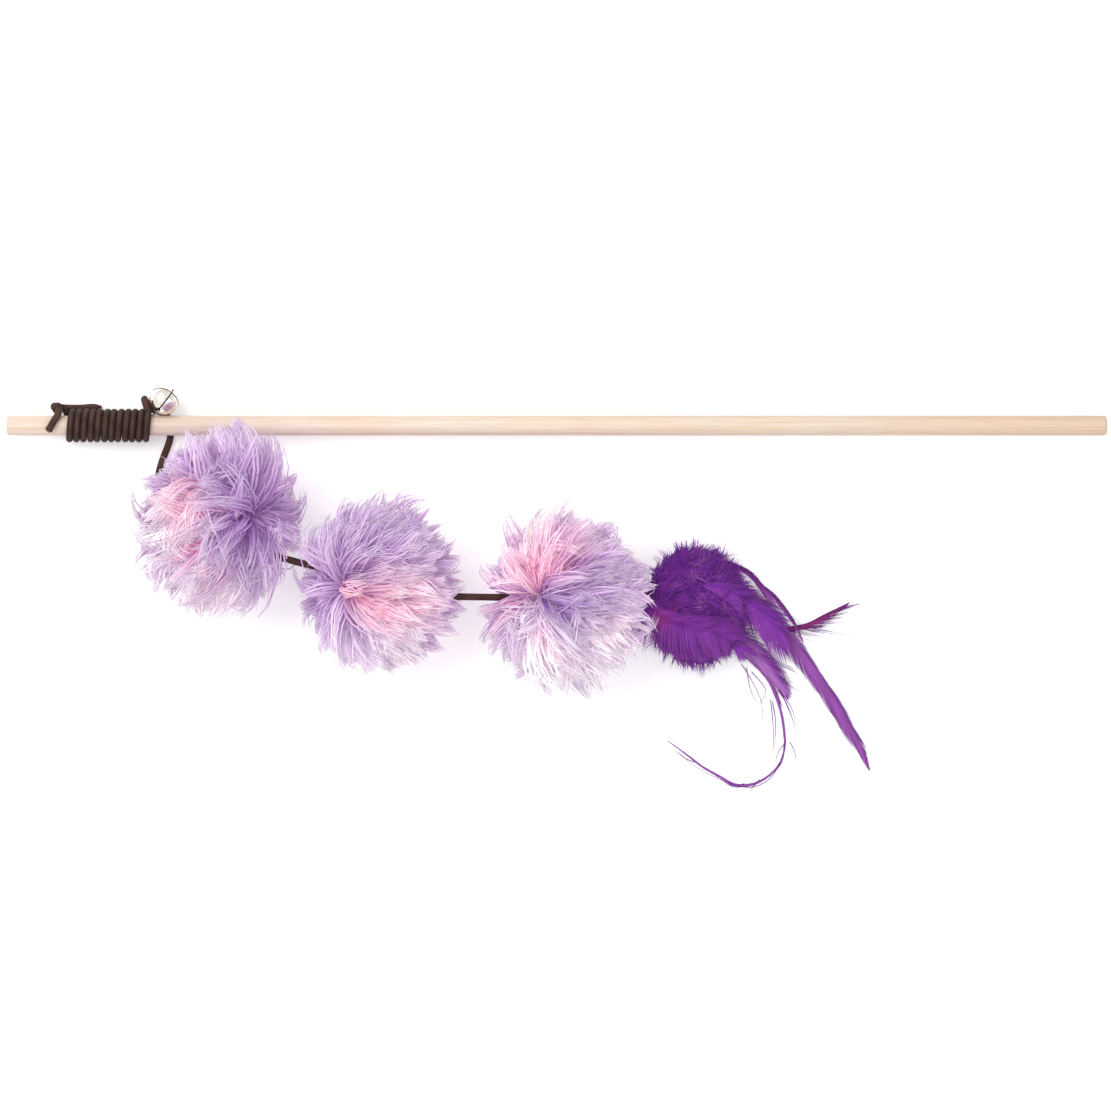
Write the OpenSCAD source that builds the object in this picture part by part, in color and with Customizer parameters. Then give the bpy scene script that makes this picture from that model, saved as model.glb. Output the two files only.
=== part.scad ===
// Cat teaser wand lying on a table: a wooden dowel, an elastic cord wound round its tip,
// a jingle bell on the cord's loop, three fur pompoms strung on the cord, and a tuft of
// dyed feathers bound to its end. X runs along the dowel with the tip at the low end,
// Z is up from the table. The chain of pompoms lies on the side of negative Y.

/* [Dowel] */
// Length of the wooden dowel
dowel_length = 440; // [400:5:520]
// Diameter of the dowel
dowel_diameter = 8; // [7:0.5:9]
// Radius that softens both ends of the dowel
dowel_end_round = 1.2; // [0.4:0.2:1.6]

/* [Cord] */
// Diameter of the braided elastic cord where it runs free
cord_diameter = 2.8; // [2.4:0.1:3]
// Diameter of the same cord where it is stretched round the dowel
wound_diameter = 2.7; // [2.3:0.1:2.8]
// Number of turns round the dowel
winding_turns = 12; // [8:1:16]
// Distance from one turn to the next
winding_pitch = 2.78; // [2.78:0.02:3.2]
// Distance from the dowel's tip to the first turn
winding_setback = 23.7; // [22:0.5:40]
// Radius of the stopper knots in the cord
knot_radius = 2.8; // [2.4:0.1:3]

/* [Bell] */
// Outer diameter of the jingle bell
bell_diameter = 12; // [10:0.2:12.4]
// Thickness of the bell's sheet metal
bell_wall = 0.5; // [0.4:0.05:0.7]
// Width of the crossed slots in the bell
bell_slot = 0.55; // [0.4:0.05:0.8]
// Wire diameter of the bell's eyelet
eyelet_wire = 0.8; // [0.6:0.05:0.9]
// Inner diameter of the bell's eyelet
eyelet_bore = 3.6; // [3.4:0.1:4]
// Diameter of the loose steel ball inside the bell
clapper_diameter = 3.2; // [2.6:0.1:3.4]

/* [Pompoms] */
// Diameter of a pompom over its fur
pompom_diameter = 62; // [54:1:64]
// Diameter of the stuffing inside a pompom
stuffing_diameter = 26; // [22:1:30]
// Thickness of the fur's knitted backing
backing_wall = 0.8; // [0.6:0.1:1.2]
// Thickness of the thread that gathers the backing
gather_thread = 1; // [0.8:0.1:1.2]

/* [Tuft] */
// Diameter of the thread that whips the quills together
whipping_thread = 0.8; // [0.6:0.1:1]
// Number of turns in the whipping
whipping_turns = 6; // [4:1:7]
// Length of the fluffy plumes from the whipping to their ends
plume_length = 40; // [34:1:44]
// Full width of the fluffy plumes
plume_width = 52; // [44:1:56]
// Height of each fluffy plume at its middle
plume_height = 9; // [7:0.5:10]
// Radius of a hackle's quill at its root
quill_radius = 0.5; // [0.4:0.05:0.6]

/* [Hidden] */
$fn = 64;

// Clearance between pieces that are laid or slid on each other
touch_gap = 0.05;
// Clearance between soft pieces and their neighbours
soft_gap = 0.3;
// How far a cut runs past the surface that it opens
overrun = 1;

dowel_r = dowel_diameter / 2;
cord_r = cord_diameter / 2;
wound_r = wound_diameter / 2;
// Radius of the wound cord's centreline round the dowel
wind_r = dowel_r + touch_gap + wound_r;
// Depth by which the lowest turns are pressed flat on the table
press_flat = wound_diameter / 10;
// Height of the dowel's axis over the table
axis_z = wind_r + wound_r - press_flat;
tip_x = -dowel_length / 2;
first_x = tip_x + winding_setback;
last_x = first_x + winding_turns * winding_pitch;

// Angles round the dowel where the winding starts and where it leaves for the bell
wind_from = -20;
wind_to = 60;
rings_per_turn = 24;
wound_sides = 6;
cord_sides = 8;

// Knot at the winding's start, from the first turn, the dowel's axis and the table
start_knot_at = [-3.9, 7.2, 6.2];
start_knot_radius = 2.35;

// Route of the cut tail over the dowel, from the first turn, the axis and the table
tail_points = [
  [-2.6, 6.85, 9.0], [-2.6, 5.4, 10.0], [-3.3, 3.6, 11.0], [-4.4, 1.8, 11.8],
  [-5.6, -0.4, 12.0], [-6.8, -2.6, 11.5]
];
// Route of the strand that lies along the turns, on the same origin
return_points = [
  [-2.2, 7.4, 4.0], [-0.8, 7.2, 2.8], [1.0, 7.1, 2.2], [3.0, 7.1, 2.0], [6.0, 7.1, 2.0],
  [9.0, 7.4, 2.2], [11.0, 7.4, 2.2], [12.4, 7.1, 1.9], [13.4, 6.8, 1.5]
];
// Route of the loop that carries the bell, from the last turn, the axis and the table
loop_points = [
  [-0.9, 7.2, 9.2], [-1.5, 9.0, 8.9], [-1.9, 10.3, 7.9], [-1.9, 10.6, 6.6],
  [-1.5, 9.7, 5.5], [-0.6, 7.9, 4.9], [0.5, 6.7, 4.4], [1.9, 6.2, 3.6],
  [3.2, 5.9, 3.0], [4.9, 5.2, 2.2], [6.6, 4.0, 1.5], [7.8, 2.2, 1.2],
  [8.3, 0, 1.1], [8.3, -1.4, 1.1]
];
// Joint where the first leg comes out from under the dowel, at the end of the loop
loop_end = loop_points[len(loop_points) - 1];
string_joint = [last_x + loop_end.x, loop_end.y - cord_r - touch_gap, cord_r];

bell_r = bell_diameter / 2;
// Heading and height angle of the pole where the bell's slots cross
bell_heading = 41;
bell_height = 46;
// Turn of the slots about the pole
slot_turn = 15;
eyelet_r = (eyelet_bore + eyelet_wire) / 2;
eyelet_out = bell_r + touch_gap + eyelet_r + eyelet_wire / 2;
eyelet_neck = eyelet_wire * 0.75;
eyelet_head = eyelet_wire * 1.5;
// Height where the rim of the eyelet's head rests on the inside of the ball
head_seat = touch_gap - sqrt(pow(bell_r - bell_wall, 2) - pow(eyelet_head, 2));
// How far the eyelet lies past the last turn, out from the dowel and under its axis
eyelet_along = 1.67;
eyelet_aside = 2.28;
eyelet_below = 2.78;
clapper_r = clapper_diameter / 2;
slot_hole = bell_slot * 1.5;
// Turn of the eyelet about the bell's axis that lets the cord run through it
eyelet_turn = 41;

pompom_r = pompom_diameter / 2;
// Depth of the fur that is pressed flat on the table
pompom_press = 1;
pompom_z = pompom_r - pompom_press;
// Hollow in the pile at its whorl
whorl_depth = 6;
whorl_r = pompom_r / 2;
stuffing_r = stuffing_diameter / 2;
backing_r = stuffing_r + touch_gap + backing_wall;
// Centres of the pompoms, from the winding's end and the dowel's axis
pompom_places = [[30, -38], [92, -63], [166.5, -69]];
// Heading and height angle of the ways out of each pompom: to the stick, then to the tuft
pompom_entries = [[155, -45], [165.2, 0], [179.1, 0]];
pompom_exits = [[-36, 0], [-13, 0], [-3.7, -20]];
// Heading and height angle of each pompom's whorl, where the pile parts
pompom_whorls = [[9, 72], [177, 68], [170, 70]];
// Depth of a stopper knot's centre under the fur's surface
knot_depth = 8;
mouth_r = pompom_r - knot_depth;
// Half width of the channel that the cord runs through
channel_r = cord_r + soft_gap;
gather_r = channel_r + soft_gap + gather_thread / 2;
// Room beside a knot in the way out, and how far that widens to the fur's surface
mouth_room = 0.8;
mouth_spread = 5.8;
mouth_neck = max(knot_radius + mouth_room, gather_r + gather_thread / 2 + soft_gap);
mouth_flare = mouth_neck + mouth_spread;
// Radius of the hollow in the stuffing where the cord bends
bend_room = 5;
// Share of a knot's radius that its core fills, and the thickness of its loops
knot_core_share = 0.8;
knot_loop_share = 0.48;

// Route of the first leg over the table, from its joint and the table
leg_1_table_points = [
  [-0.5, -3.0, 1.4], [-1.6, -6.2, 1.4], [-2.9, -9.6, 1.4], [-4.0, -12.8, 1.5],
  [-4.8, -15.8, 1.6], [-5.1, -18.6, 1.9], [-4.7, -21.2, 2.6], [-3.4, -23.2, 3.8]
];
// The rest of its route, from the first pompom's centre
leg_1_pompom_points = [
  [-23.1, 10.8, -25.5], [-21.2, 9.9, -23.3], [-19.9, 9.3, -21.9], [-12.8, 6.0, -14.1],
  [-6.4, 3.0, -7.1], [-2.2, 1.0, -2.4], [0.1, -0.2, -0.5], [2.7, -2.0, 0], [9.7, -7.1, 0]
];
// Routes of the second and third leg, from the centres of their own pompoms
leg_2_points = [
  [-38.7, 10.2, 0], [-34.8, 9.2, 0], [-30.0, 7.9, 0], [-19.3, 5.1, 0], [-9.7, 2.6, 0],
  [0, 0, 0], [9.7, -2.2, 0]
];
leg_3_points = [
  [-46.0, 0.7, 0], [-42.0, 0.7, 0], [-38.0, 0.6, 0], [-31.0, 0.5, 0], [-20.0, 0.3, 0],
  [-10.0, 0.2, 0], [-3.0, 0, 0], [0, 0, -0.2], [2.8, -0.2, -1.0], [9.4, -0.6, -3.4]
];

// Layers of quills in the tuft, counted up from the lowest
quill_layers = 5;
quill_pitch = 2 * quill_radius + touch_gap;
bundle_r = quill_pitch * (quill_layers - 1) / 2 + quill_radius + touch_gap;
whip_from = knot_radius + soft_gap;
whip_length = whipping_turns * whipping_thread;
whip_to = whip_from + whip_length;
// How far from the knot the feathers come down to the table, and how sharply they droop
landing = 1.6 * plume_length;
droop = 1.2;
// Reach of the longest hackle past the knot
tuft_reach = 2.5 * plume_length;
// Routes of the hackles past the whipping, as shares of the tuft's reach
hackle_a_shares = [
  [0.18, 0.044], [0.30, 0.096], [0.41, 0.124], [0.504, 0.114], [0.588, 0.054],
  [0.64, -0.002], [0.684, -0.058], [0.712, -0.098], [0.74, -0.17]
];
hackle_b_shares = [
  [0.20, -0.01], [0.34, -0.034], [0.48, -0.07], [0.58, -0.096], [0.672, -0.106],
  [0.752, -0.094], [0.84, -0.042], [0.924, -0.002]
];
hackle_c_shares = [
  [0.20, 0.024], [0.36, 0.05], [0.50, 0.046], [0.58, -0.024], [0.66, -0.106],
  [0.74, -0.194], [0.808, -0.294], [0.872, -0.394], [0.928, -0.482], [0.96, -0.574],
  [1, -0.67]
];
hackle_d_shares = [
  [0.18, -0.016], [0.29, -0.042], [0.40, -0.076], [0.48, -0.132], [0.54, -0.194],
  [0.62, -0.274], [0.66, -0.354], [0.668, -0.392]
];
hackle_curl_shares = [
  [0.18, -0.03], [0.30, -0.09], [0.44, -0.18], [0.56, -0.274], [0.608, -0.374],
  [0.64, -0.474], [0.656, -0.574], [0.624, -0.674], [0.58, -0.71], [0.52, -0.73],
  [0.46, -0.726], [0.38, -0.686], [0.32, -0.654], [0.24, -0.602], [0.196, -0.558]
];
// Greatest half width of each hackle's vane, as a share of the tuft's reach
hackle_width_shares = [0.024, 0.024, 0.028, 0.045, 0.009];
// Outline of a plume from root to end: distance, half width and height, as shares
plume_shares = [
  [0.03, 0.1, 0.16], [0.12, 0.34, 0.5], [0.24, 0.66, 0.8], [0.38, 0.9, 0.96],
  [0.54, 1, 1], [0.7, 0.97, 0.94], [0.84, 0.84, 0.76], [0.94, 0.62, 0.5], [1, 0.34, 0.24]
];
plume_arc_steps = 8;

// Middle of a pompom
function pompom_at(k) = [
  last_x + pompom_places[k].x,
  pompom_places[k].y,
  pompom_z
];

// Unit vector along a heading and a height angle
function aim(angles) = [
  cos(angles[1]) * cos(angles[0]),
  cos(angles[1]) * sin(angles[0]),
  sin(angles[1])
];

// Middle of the bell, which stands on its eyelet and leans beside the dowel
bell_at = [last_x + eyelet_along, dowel_r + eyelet_aside, axis_z - eyelet_below]
  + eyelet_out * aim([bell_heading, bell_height]);

// Place of the knot behind a pompom, where the next stretch of the string is jointed
function knot_at(k) = pompom_at(k) + mouth_r * aim(pompom_exits[k]);

function unit(v) = v / norm(v);

// Direction of a route at each of its points
function headings(points) = [
  for (i = [0 : len(points) - 1])
    unit(points[min(i + 1, len(points) - 1)] - points[max(i - 1, 0)])
];

// A side vector for each point of a route, carried along it without twist
function carried(ways, side, i = 0, made = []) =
  i == len(ways) ? made :
  let (
    last = i == 0 ? side : made[i - 1],
    next = unit(last - (last * ways[i]) * ways[i])
  )
  carried(ways, side, i + 1, concat(made, [next]));

// Ring of corners round one point of a tube
function ring(middle, way, side, radius, sides) = [
  for (s = [0 : sides - 1])
    let (angle = 360 * s / sides, other = cross(way, side))
    middle + radius * (cos(angle) * side + sin(angle) * other)
];

// Triangles between the rings of a tube, with a flat cap at each end
function skin_faces(rings, sides) = concat(
  [for (s = [1 : sides - 2]) [0, s, s + 1]],
  [
    for (r = [0 : rings - 2], s = [0 : sides - 1], half = [0, 1])
      let (a = r * sides + s, b = r * sides + (s + 1) % sides)
      half == 0 ? [a, a + sides, b] : [b, a + sides, b + sides]
  ],
  [for (s = [1 : sides - 2]) let (e = (rings - 1) * sides) [e, e + s + 1, e + s]]
);

// Keeps a corner from going below the table
function above_table(p) = [p.x, p.y, max(p.z, 0)];

// A closed body through rings of corners
module skin(rings) {
  corners = [for (r = rings, p = r) above_table(p)];
  polyhedron(corners, skin_faces(len(rings), len(rings[0])), convexity = 6);
}

// Cord along a route; a rounded start lets it turn on the joint that it starts at
module cord(points, radius, round_start = false) {
  ways = headings(points);
  sides = carried(ways, [0, 0, 1] - ways[0] * ways[0].z);
  nose = round_start ? [
    for (angle = [75, 50, 25])
      ring(points[0] - radius * sin(angle) * ways[0], ways[0], sides[0],
        radius * cos(angle), cord_sides)
  ] : [];
  skin(concat(nose, [
    for (i = [0 : len(points) - 1])
      ring(points[i], ways[i], sides[i], radius, cord_sides)
  ]));
}

// Point and way of the winding's centreline at a turn of so many degrees
function wind_angle(turned) = wind_from - turned;
function wind_point(turned) =
  let (a = wind_angle(turned))
  [
    first_x + winding_pitch * (turned - wind_from) / 360,
    wind_r * cos(a),
    axis_z + wind_r * sin(a)
  ];
function wind_way(turned) =
  let (a = wind_angle(turned))
  unit([winding_pitch / (2 * PI), wind_r * sin(a), -wind_r * cos(a)]);
function wind_side(turned) =
  let (a = wind_angle(turned)) [0, cos(a), sin(a)];

wind_total = 360 * winding_turns - (wind_to - wind_from);
wind_steps = round(wind_total * rings_per_turn / 360);
function wind_turned(i) = wind_total * i / wind_steps;

wind_end = wind_point(wind_total) + wound_diameter * wind_way(wind_total);
wind_rings = concat(
  [ring(wind_point(0) - wound_diameter * wind_way(0), wind_way(0), wind_side(0),
    wound_r, wound_sides)],
  [
    for (i = [0 : wind_steps])
      let (t = wind_turned(i))
      ring(wind_point(t), wind_way(t), wind_side(t), wound_r, wound_sides)
  ],
  [ring(wind_end, wind_way(wind_total), wind_side(wind_total), wound_r, wound_sides)]
);

// Least gap between one turn and the next, measured on their corners
wind_gap = min([
  for (
    i = [1 : rings_per_turn],
    j = [i + rings_per_turn - 3 : i + rings_per_turn + 3],
    a = wind_rings[i],
    b = wind_rings[j]
  )
    norm(a - b)
]);
echo(least_gap_in_winding = wind_gap);

// Height of a layer's middle at a distance from the knot, down to the table
tuft_z = knot_at(2).z;
middle_layer = (quill_layers - 1) / 2;
function layer_z(x, layer) =
  quill_radius + layer * quill_pitch
  + (tuft_z - quill_radius - middle_layer * quill_pitch)
    * pow(max(0, 1 - x / landing), droop);

function tuft_point(xy, x, layer) =
  let (knot = knot_at(2))
  [knot.x + xy.x, knot.y + xy.y, layer_z(x, layer)];

// Greatest distance from the knot that a flat route has come to by one of its points
function come_to(route, i) = max([for (j = [0 : i]) route[j].x]);

function hackle_route(shares, layer) =
  let (flat = concat([[whip_from, 0], [whip_to, 0]], shares * tuft_reach))
  [for (i = [0 : len(flat) - 1]) tuft_point(flat[i], come_to(flat, i), layer)];

// Share of its greatest width that a vane has at a share of its length
function vane_share(t) = t < 0.3 ? 0 : pow(sin(180 * pow((t - 0.3) / 0.7, 0.8)), 0.7);

// Section of a feather: a flat vane on both sides of a quill
function vane_ring(middle, way, half_width, quill) =
  let (
    flat = unit([-way.y, way.x, 0]),
    rise = unit(cross(way, flat)),
    wide = max(half_width, quill * 1.3)
  )
  [
    middle - wide * flat,
    middle - quill * 0.5 * flat - quill * rise,
    middle + quill * 0.5 * flat - quill * rise,
    middle + wide * flat,
    middle + quill * 0.5 * flat + quill * rise,
    middle - quill * 0.5 * flat + quill * rise
  ];

function hackle_rings(shares, layer, half_width) =
  let (route = hackle_route(shares, layer), ways = headings(route), n = len(route) - 1)
  [
    for (i = [0 : n])
      let (t = i / n)
      vane_ring(route[i], ways[i], half_width * vane_share(t), quill_radius * (1 - 0.5 * t))
  ];

curl_rings = hackle_rings(hackle_curl_shares, 0, hackle_width_shares[4] * tuft_reach);

// The toy's middle lies on the origin: half way between the bell and the curled hackle
reach_up = bell_at.y + bell_r;
reach_down = min([for (r = curl_rings, p = r) p.y]);
lay_y = -(reach_up + reach_down) / 2;

// Every piece is drawn from the dowel's axis and laid where the whole toy is centred
module lay() translate([0, lay_y, 0]) children();

// Turns the upward axis to a heading and height angle
module along(angles) rotate([0, 90 - angles[1], angles[0]]) children();

module wand_dowel() color("BurlyWood") lay()
  translate([tip_x, 0, axis_z]) rotate([0, 90, 0]) rotate_extrude() {
    square([dowel_r - dowel_end_round, dowel_length]);
    translate([0, dowel_end_round]) square([dowel_r, dowel_length - 2 * dowel_end_round]);
    for (y = [dowel_end_round, dowel_length - dowel_end_round])
      translate([dowel_r - dowel_end_round, y]) circle(dowel_end_round);
  }

module cord_winding() color("#48383a") lay() skin(wind_rings);

// The loop runs on straight from the winding's end before it bends
module bell_loop() color("#48383a") lay()
  cord(concat(
    [for (run = [touch_gap, wound_r / 2]) wind_end + run * wind_way(wind_total)],
    [for (p = loop_points) p + [last_x, 0, 0]]
  ), wound_r);

module return_strand() color("#48383a") lay()
  cord([for (p = return_points) p + [first_x, 0, 0]], wound_r);

module cord_tail() color("#48383a") lay()
  cord([for (p = tail_points) p + [first_x, 0, 0]], wound_r);

// A knot drawn as three loops of cord crossing over each other round a core
module knot(radius) {
  bight = radius * knot_loop_share;
  sphere(radius * knot_core_share);
  for (turn = [0, 60, 120])
    rotate([turn, 25, turn * 2]) rotate_extrude() translate([radius - bight, 0])
      circle(bight, $fn = 24);
}

module start_knot() color("#48383a") lay()
  translate([first_x, 0, 0] + start_knot_at) knot(start_knot_radius);

// The bell's own frame: origin at its middle, upward axis to where the slots cross
module at_bell() lay() translate(bell_at) along([bell_heading, bell_height]) children();

// Sheet metal ball, slotted crosswise from its pole, with a hole for the eyelet's neck
module bell_shell() color("Silver") at_bell() difference() {
  sphere(bell_r);
  sphere(bell_r - bell_wall);
  for (turn = [0, 90]) rotate(turn + slot_turn) {
    translate([-bell_r - overrun, -bell_slot / 2, 0])
      cube([2 * (bell_r + overrun), bell_slot, bell_r + overrun]);
    rotate([0, 90, 0]) cylinder(r = slot_hole, h = 2 * (bell_r + overrun), center = true);
  }
  translate([0, 0, -bell_r - overrun])
    cylinder(r = eyelet_neck + touch_gap, h = bell_r + overrun);
}

// Wire ring on a neck that is headed over inside the bell
module bell_eyelet() color("Silver") at_bell() {
  translate([0, 0, -eyelet_out]) rotate([90, 0, eyelet_turn]) rotate_extrude()
    translate([eyelet_r, 0]) circle(eyelet_wire / 2);
  translate([0, 0, -eyelet_out + eyelet_r])
    cylinder(r = eyelet_neck, h = eyelet_out - eyelet_r + head_seat + eyelet_neck / 2);
  translate([0, 0, head_seat])
    cylinder(r = eyelet_head, h = eyelet_neck);
}

// Loose steel ball at the low end of the bell's inside
module bell_clapper() color("DimGray") at_bell()
  translate([0, 0, head_seat + eyelet_neck + touch_gap + clapper_r])
    sphere(clapper_r);

module cord_leg_1() color("#48383a") lay()
  cord(concat(
    [string_joint],
    [for (p = leg_1_table_points) p + [string_joint.x, string_joint.y, 0]],
    [for (p = leg_1_pompom_points) p + pompom_at(0)],
    [leg_end(0)]
  ), cord_r, round_start = true);

// Where a leg ends, face to face with the stopper knot behind its pompom
function leg_end(k) = pompom_at(k) + (mouth_r - knot_radius - touch_gap) * aim(pompom_exits[k]);

// Where a leg starts, on the stopper knot before its pompom
function leg_start(k) =
  knot_at(k - 1) + (knot_radius + touch_gap) * unit(pompom_at(k) - knot_at(k - 1));

module cord_leg_2() color("#48383a") lay()
  cord(concat([leg_start(1)], [for (p = leg_2_points) p + pompom_at(1)], [leg_end(1)]), cord_r);

module cord_leg_3() color("#48383a") lay()
  cord(concat([leg_start(2)], [for (p = leg_3_points) p + pompom_at(2)], [leg_end(2)]), cord_r);

module string_knot(k) color("#48383a") lay() translate(knot_at(k)) knot(knot_radius);

// Channels for the cord through a pompom, with the mouth that holds the stopper knot
module cord_ways(k) {
  along(pompom_entries[k]) cylinder(r = channel_r, h = pompom_r + overrun);
  along(pompom_exits[k]) {
    cylinder(r = channel_r, h = pompom_r + overrun);
    translate([0, 0, backing_r]) cylinder(r = mouth_neck, h = knot_depth + mouth_r - backing_r);
    translate([0, 0, mouth_r - overrun])
      cylinder(r1 = mouth_neck, r2 = mouth_flare, h = knot_depth + 2 * overrun);
  }
}

// A ball whose seam lies away from the cord's ways in and out
module ball(radius) rotate(75) sphere(radius);

// The outer ball of fur, pressed flat where it lies on the table
module pompom_fur(k) color(k == 1 ? "Plum" : "MediumPurple") lay() translate(pompom_at(k))
  difference() {
    ball(pompom_r);
    ball(backing_r + touch_gap);
    cord_ways(k);
    translate((pompom_r + whorl_r - whorl_depth) * aim(pompom_whorls[k])) ball(whorl_r);
    translate([-pompom_r, -pompom_r, -pompom_r - pompom_press])
      cube([pompom_diameter, pompom_diameter, 2 * pompom_press]);
  }

// Knitted backing that the fur grows on, closed round the stuffing
module pompom_backing(k) color("Thistle") lay() translate(pompom_at(k)) difference() {
  ball(backing_r);
  ball(backing_r - backing_wall);
  cord_ways(k);
}

// Wadding inside the backing, with a hollow where the cord bends
module pompom_stuffing(k) color("WhiteSmoke") lay() translate(pompom_at(k)) difference() {
  ball(stuffing_r);
  ball(bend_room);
  cord_ways(k);
}

// Ring of sewing thread that draws the backing together round the cord
module pompom_gather(k) color("Orchid") lay() translate(pompom_at(k)) along(pompom_exits[k])
  translate([0, 0, backing_r + gather_thread / 2 + touch_gap]) rotate_extrude()
    translate([gather_r, 0]) circle(gather_thread / 2);

// Whipping of thread turns round the quills
module tuft_whipping() color("Indigo") lay() {
  from = tuft_point([whip_from, 0], whip_from, middle_layer);
  to = tuft_point([whip_to, 0], whip_to, middle_layer);
  slope = atan2(to.z - from.z, to.x - from.x);
  translate(from) along([0, slope]) rotate_extrude() {
    translate([bundle_r, 0]) square([whipping_thread / 2, whip_length]);
    for (i = [0 : whipping_turns - 1])
      translate([bundle_r + whipping_thread / 2, whipping_thread * (i + 0.5)])
        circle(whipping_thread / 2, $fn = 24);
  }
}

// Half section of a fluffy plume: domed on one side, flat on the side of the quills
function plume_ring(x, half_width, height, base_z, up) =
  let (knot = knot_at(2))
  [
    for (i = [0 : plume_arc_steps])
      let (a = 180 * i / plume_arc_steps)
      [
        knot.x + x,
        knot.y - up * half_width * cos(a),
        base_z + up * height * pow(sin(a), 0.8)
      ]
  ];

// A marabou plume over or under the layers of quills
module plume(up) {
  layer = up > 0 ? quill_layers - 1 : 0;
  rings = [
    for (p = plume_shares)
      let (
        x = whip_to + soft_gap + p[0] * plume_length,
        base = layer_z(x, layer) + up * (quill_radius + soft_gap),
        room = up > 0 ? plume_height : min(plume_height, base)
      )
      plume_ring(x, p[1] * plume_width / 2, p[2] * room, base, up)
  ];
  skin(rings);
}

module plume_upper() color("Indigo") lay() plume(1);

module plume_lower() color("Indigo") lay() plume(-1);

// A long narrow feather on one layer of the tuft
module hackle(shares, layer) color("DarkOrchid") lay()
  skin(hackle_rings(shares, layer, hackle_width_shares[quill_layers - 1 - layer] * tuft_reach));

wand_dowel();
cord_winding();
bell_loop();
return_strand();
start_knot();
cord_tail();
bell_shell();
bell_eyelet();
bell_clapper();
cord_leg_1();
pompom_fur(0);  // pompom_1_fur
pompom_backing(0);  // pompom_1_backing
pompom_stuffing(0);  // pompom_1_stuffing
pompom_gather(0);  // pompom_1_gather
string_knot(0);  // cord_knot_1
cord_leg_2();
pompom_fur(1);  // pompom_2_fur
pompom_backing(1);  // pompom_2_backing
pompom_stuffing(1);  // pompom_2_stuffing
pompom_gather(1);  // pompom_2_gather
string_knot(1);  // cord_knot_2
cord_leg_3();
pompom_fur(2);  // pompom_3_fur
pompom_backing(2);  // pompom_3_backing
pompom_stuffing(2);  // pompom_3_stuffing
pompom_gather(2);  // pompom_3_gather
string_knot(2);  // tuft_knot
tuft_whipping();
plume_upper();
plume_lower();
hackle(hackle_a_shares, 4);  // hackle_a
hackle(hackle_b_shares, 3);  // hackle_b
hackle(hackle_c_shares, 2);  // hackle_c
hackle(hackle_d_shares, 1);  // hackle_d
hackle(hackle_curl_shares, 0);  // hackle_curl
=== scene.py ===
# Looks of the cat teaser wand: wood, braided cord, nickel bell, long-pile pompoms and dyed
# feathers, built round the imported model. Everything is in metres, in the model's own frame.
import math

import bpy
import numpy as np
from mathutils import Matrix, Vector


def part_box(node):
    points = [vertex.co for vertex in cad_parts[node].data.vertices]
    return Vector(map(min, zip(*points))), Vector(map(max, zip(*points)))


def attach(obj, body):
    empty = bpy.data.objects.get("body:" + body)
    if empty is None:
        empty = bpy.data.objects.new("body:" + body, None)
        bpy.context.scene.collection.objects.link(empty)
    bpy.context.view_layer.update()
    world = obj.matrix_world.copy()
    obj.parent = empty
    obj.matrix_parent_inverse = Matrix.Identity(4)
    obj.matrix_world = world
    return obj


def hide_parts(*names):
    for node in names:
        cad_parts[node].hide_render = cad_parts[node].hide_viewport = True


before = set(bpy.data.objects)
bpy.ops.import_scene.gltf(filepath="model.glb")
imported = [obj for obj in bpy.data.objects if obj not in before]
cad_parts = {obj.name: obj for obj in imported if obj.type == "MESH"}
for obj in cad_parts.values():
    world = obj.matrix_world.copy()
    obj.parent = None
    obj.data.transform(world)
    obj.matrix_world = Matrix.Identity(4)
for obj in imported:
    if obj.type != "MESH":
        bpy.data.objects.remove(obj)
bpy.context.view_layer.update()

MM = 0.001
SEED = 11
RNG = np.random.default_rng(SEED)
# Least height over the table of a hair's middle line, and of any corner of a strand
DOWN_TO = 0.0003
LOWEST = 0.05 * MM
# Distance of a cord's rings
RING_STEP = 0.3 * MM

# The photograph's square, seen from straight above
PHOTO_SIDE = 1111
PIXEL = 0.4 * MM
DOWEL_MIDDLE_PX = (556.75, 425.5)

dowel_low, dowel_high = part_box("wand_dowel")
AXIS = (dowel_low + dowel_high) / 2
DOWEL_R = (dowel_high.z - dowel_low.z) / 2


def normal(*shape):
    return RNG.standard_normal(shape)


def from_photo(px, py, z=0.0):
    """Point of the frame that shows at a pixel of the photograph."""
    return (
        AXIS.x + (px - DOWEL_MIDDLE_PX[0]) * PIXEL,
        AXIS.y + (DOWEL_MIDDLE_PX[1] - py) * PIXEL,
        z,
    )


def add_object(name, data):
    made = bpy.data.objects.new(name, data)
    bpy.context.scene.collection.objects.link(made)
    return made


def add_camera():
    distance = 2.5
    data = bpy.data.cameras.new("camera")
    data.sensor_width = 36.0
    data.lens = data.sensor_width * distance / (PHOTO_SIDE * PIXEL)
    data.clip_end = 8 * distance
    camera = add_object("camera", data)
    camera.location = from_photo(PHOTO_SIDE / 2, PHOTO_SIDE / 2, AXIS.z + distance)
    bpy.context.scene.camera = camera


add_camera()


# Meshes from arrays


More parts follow.
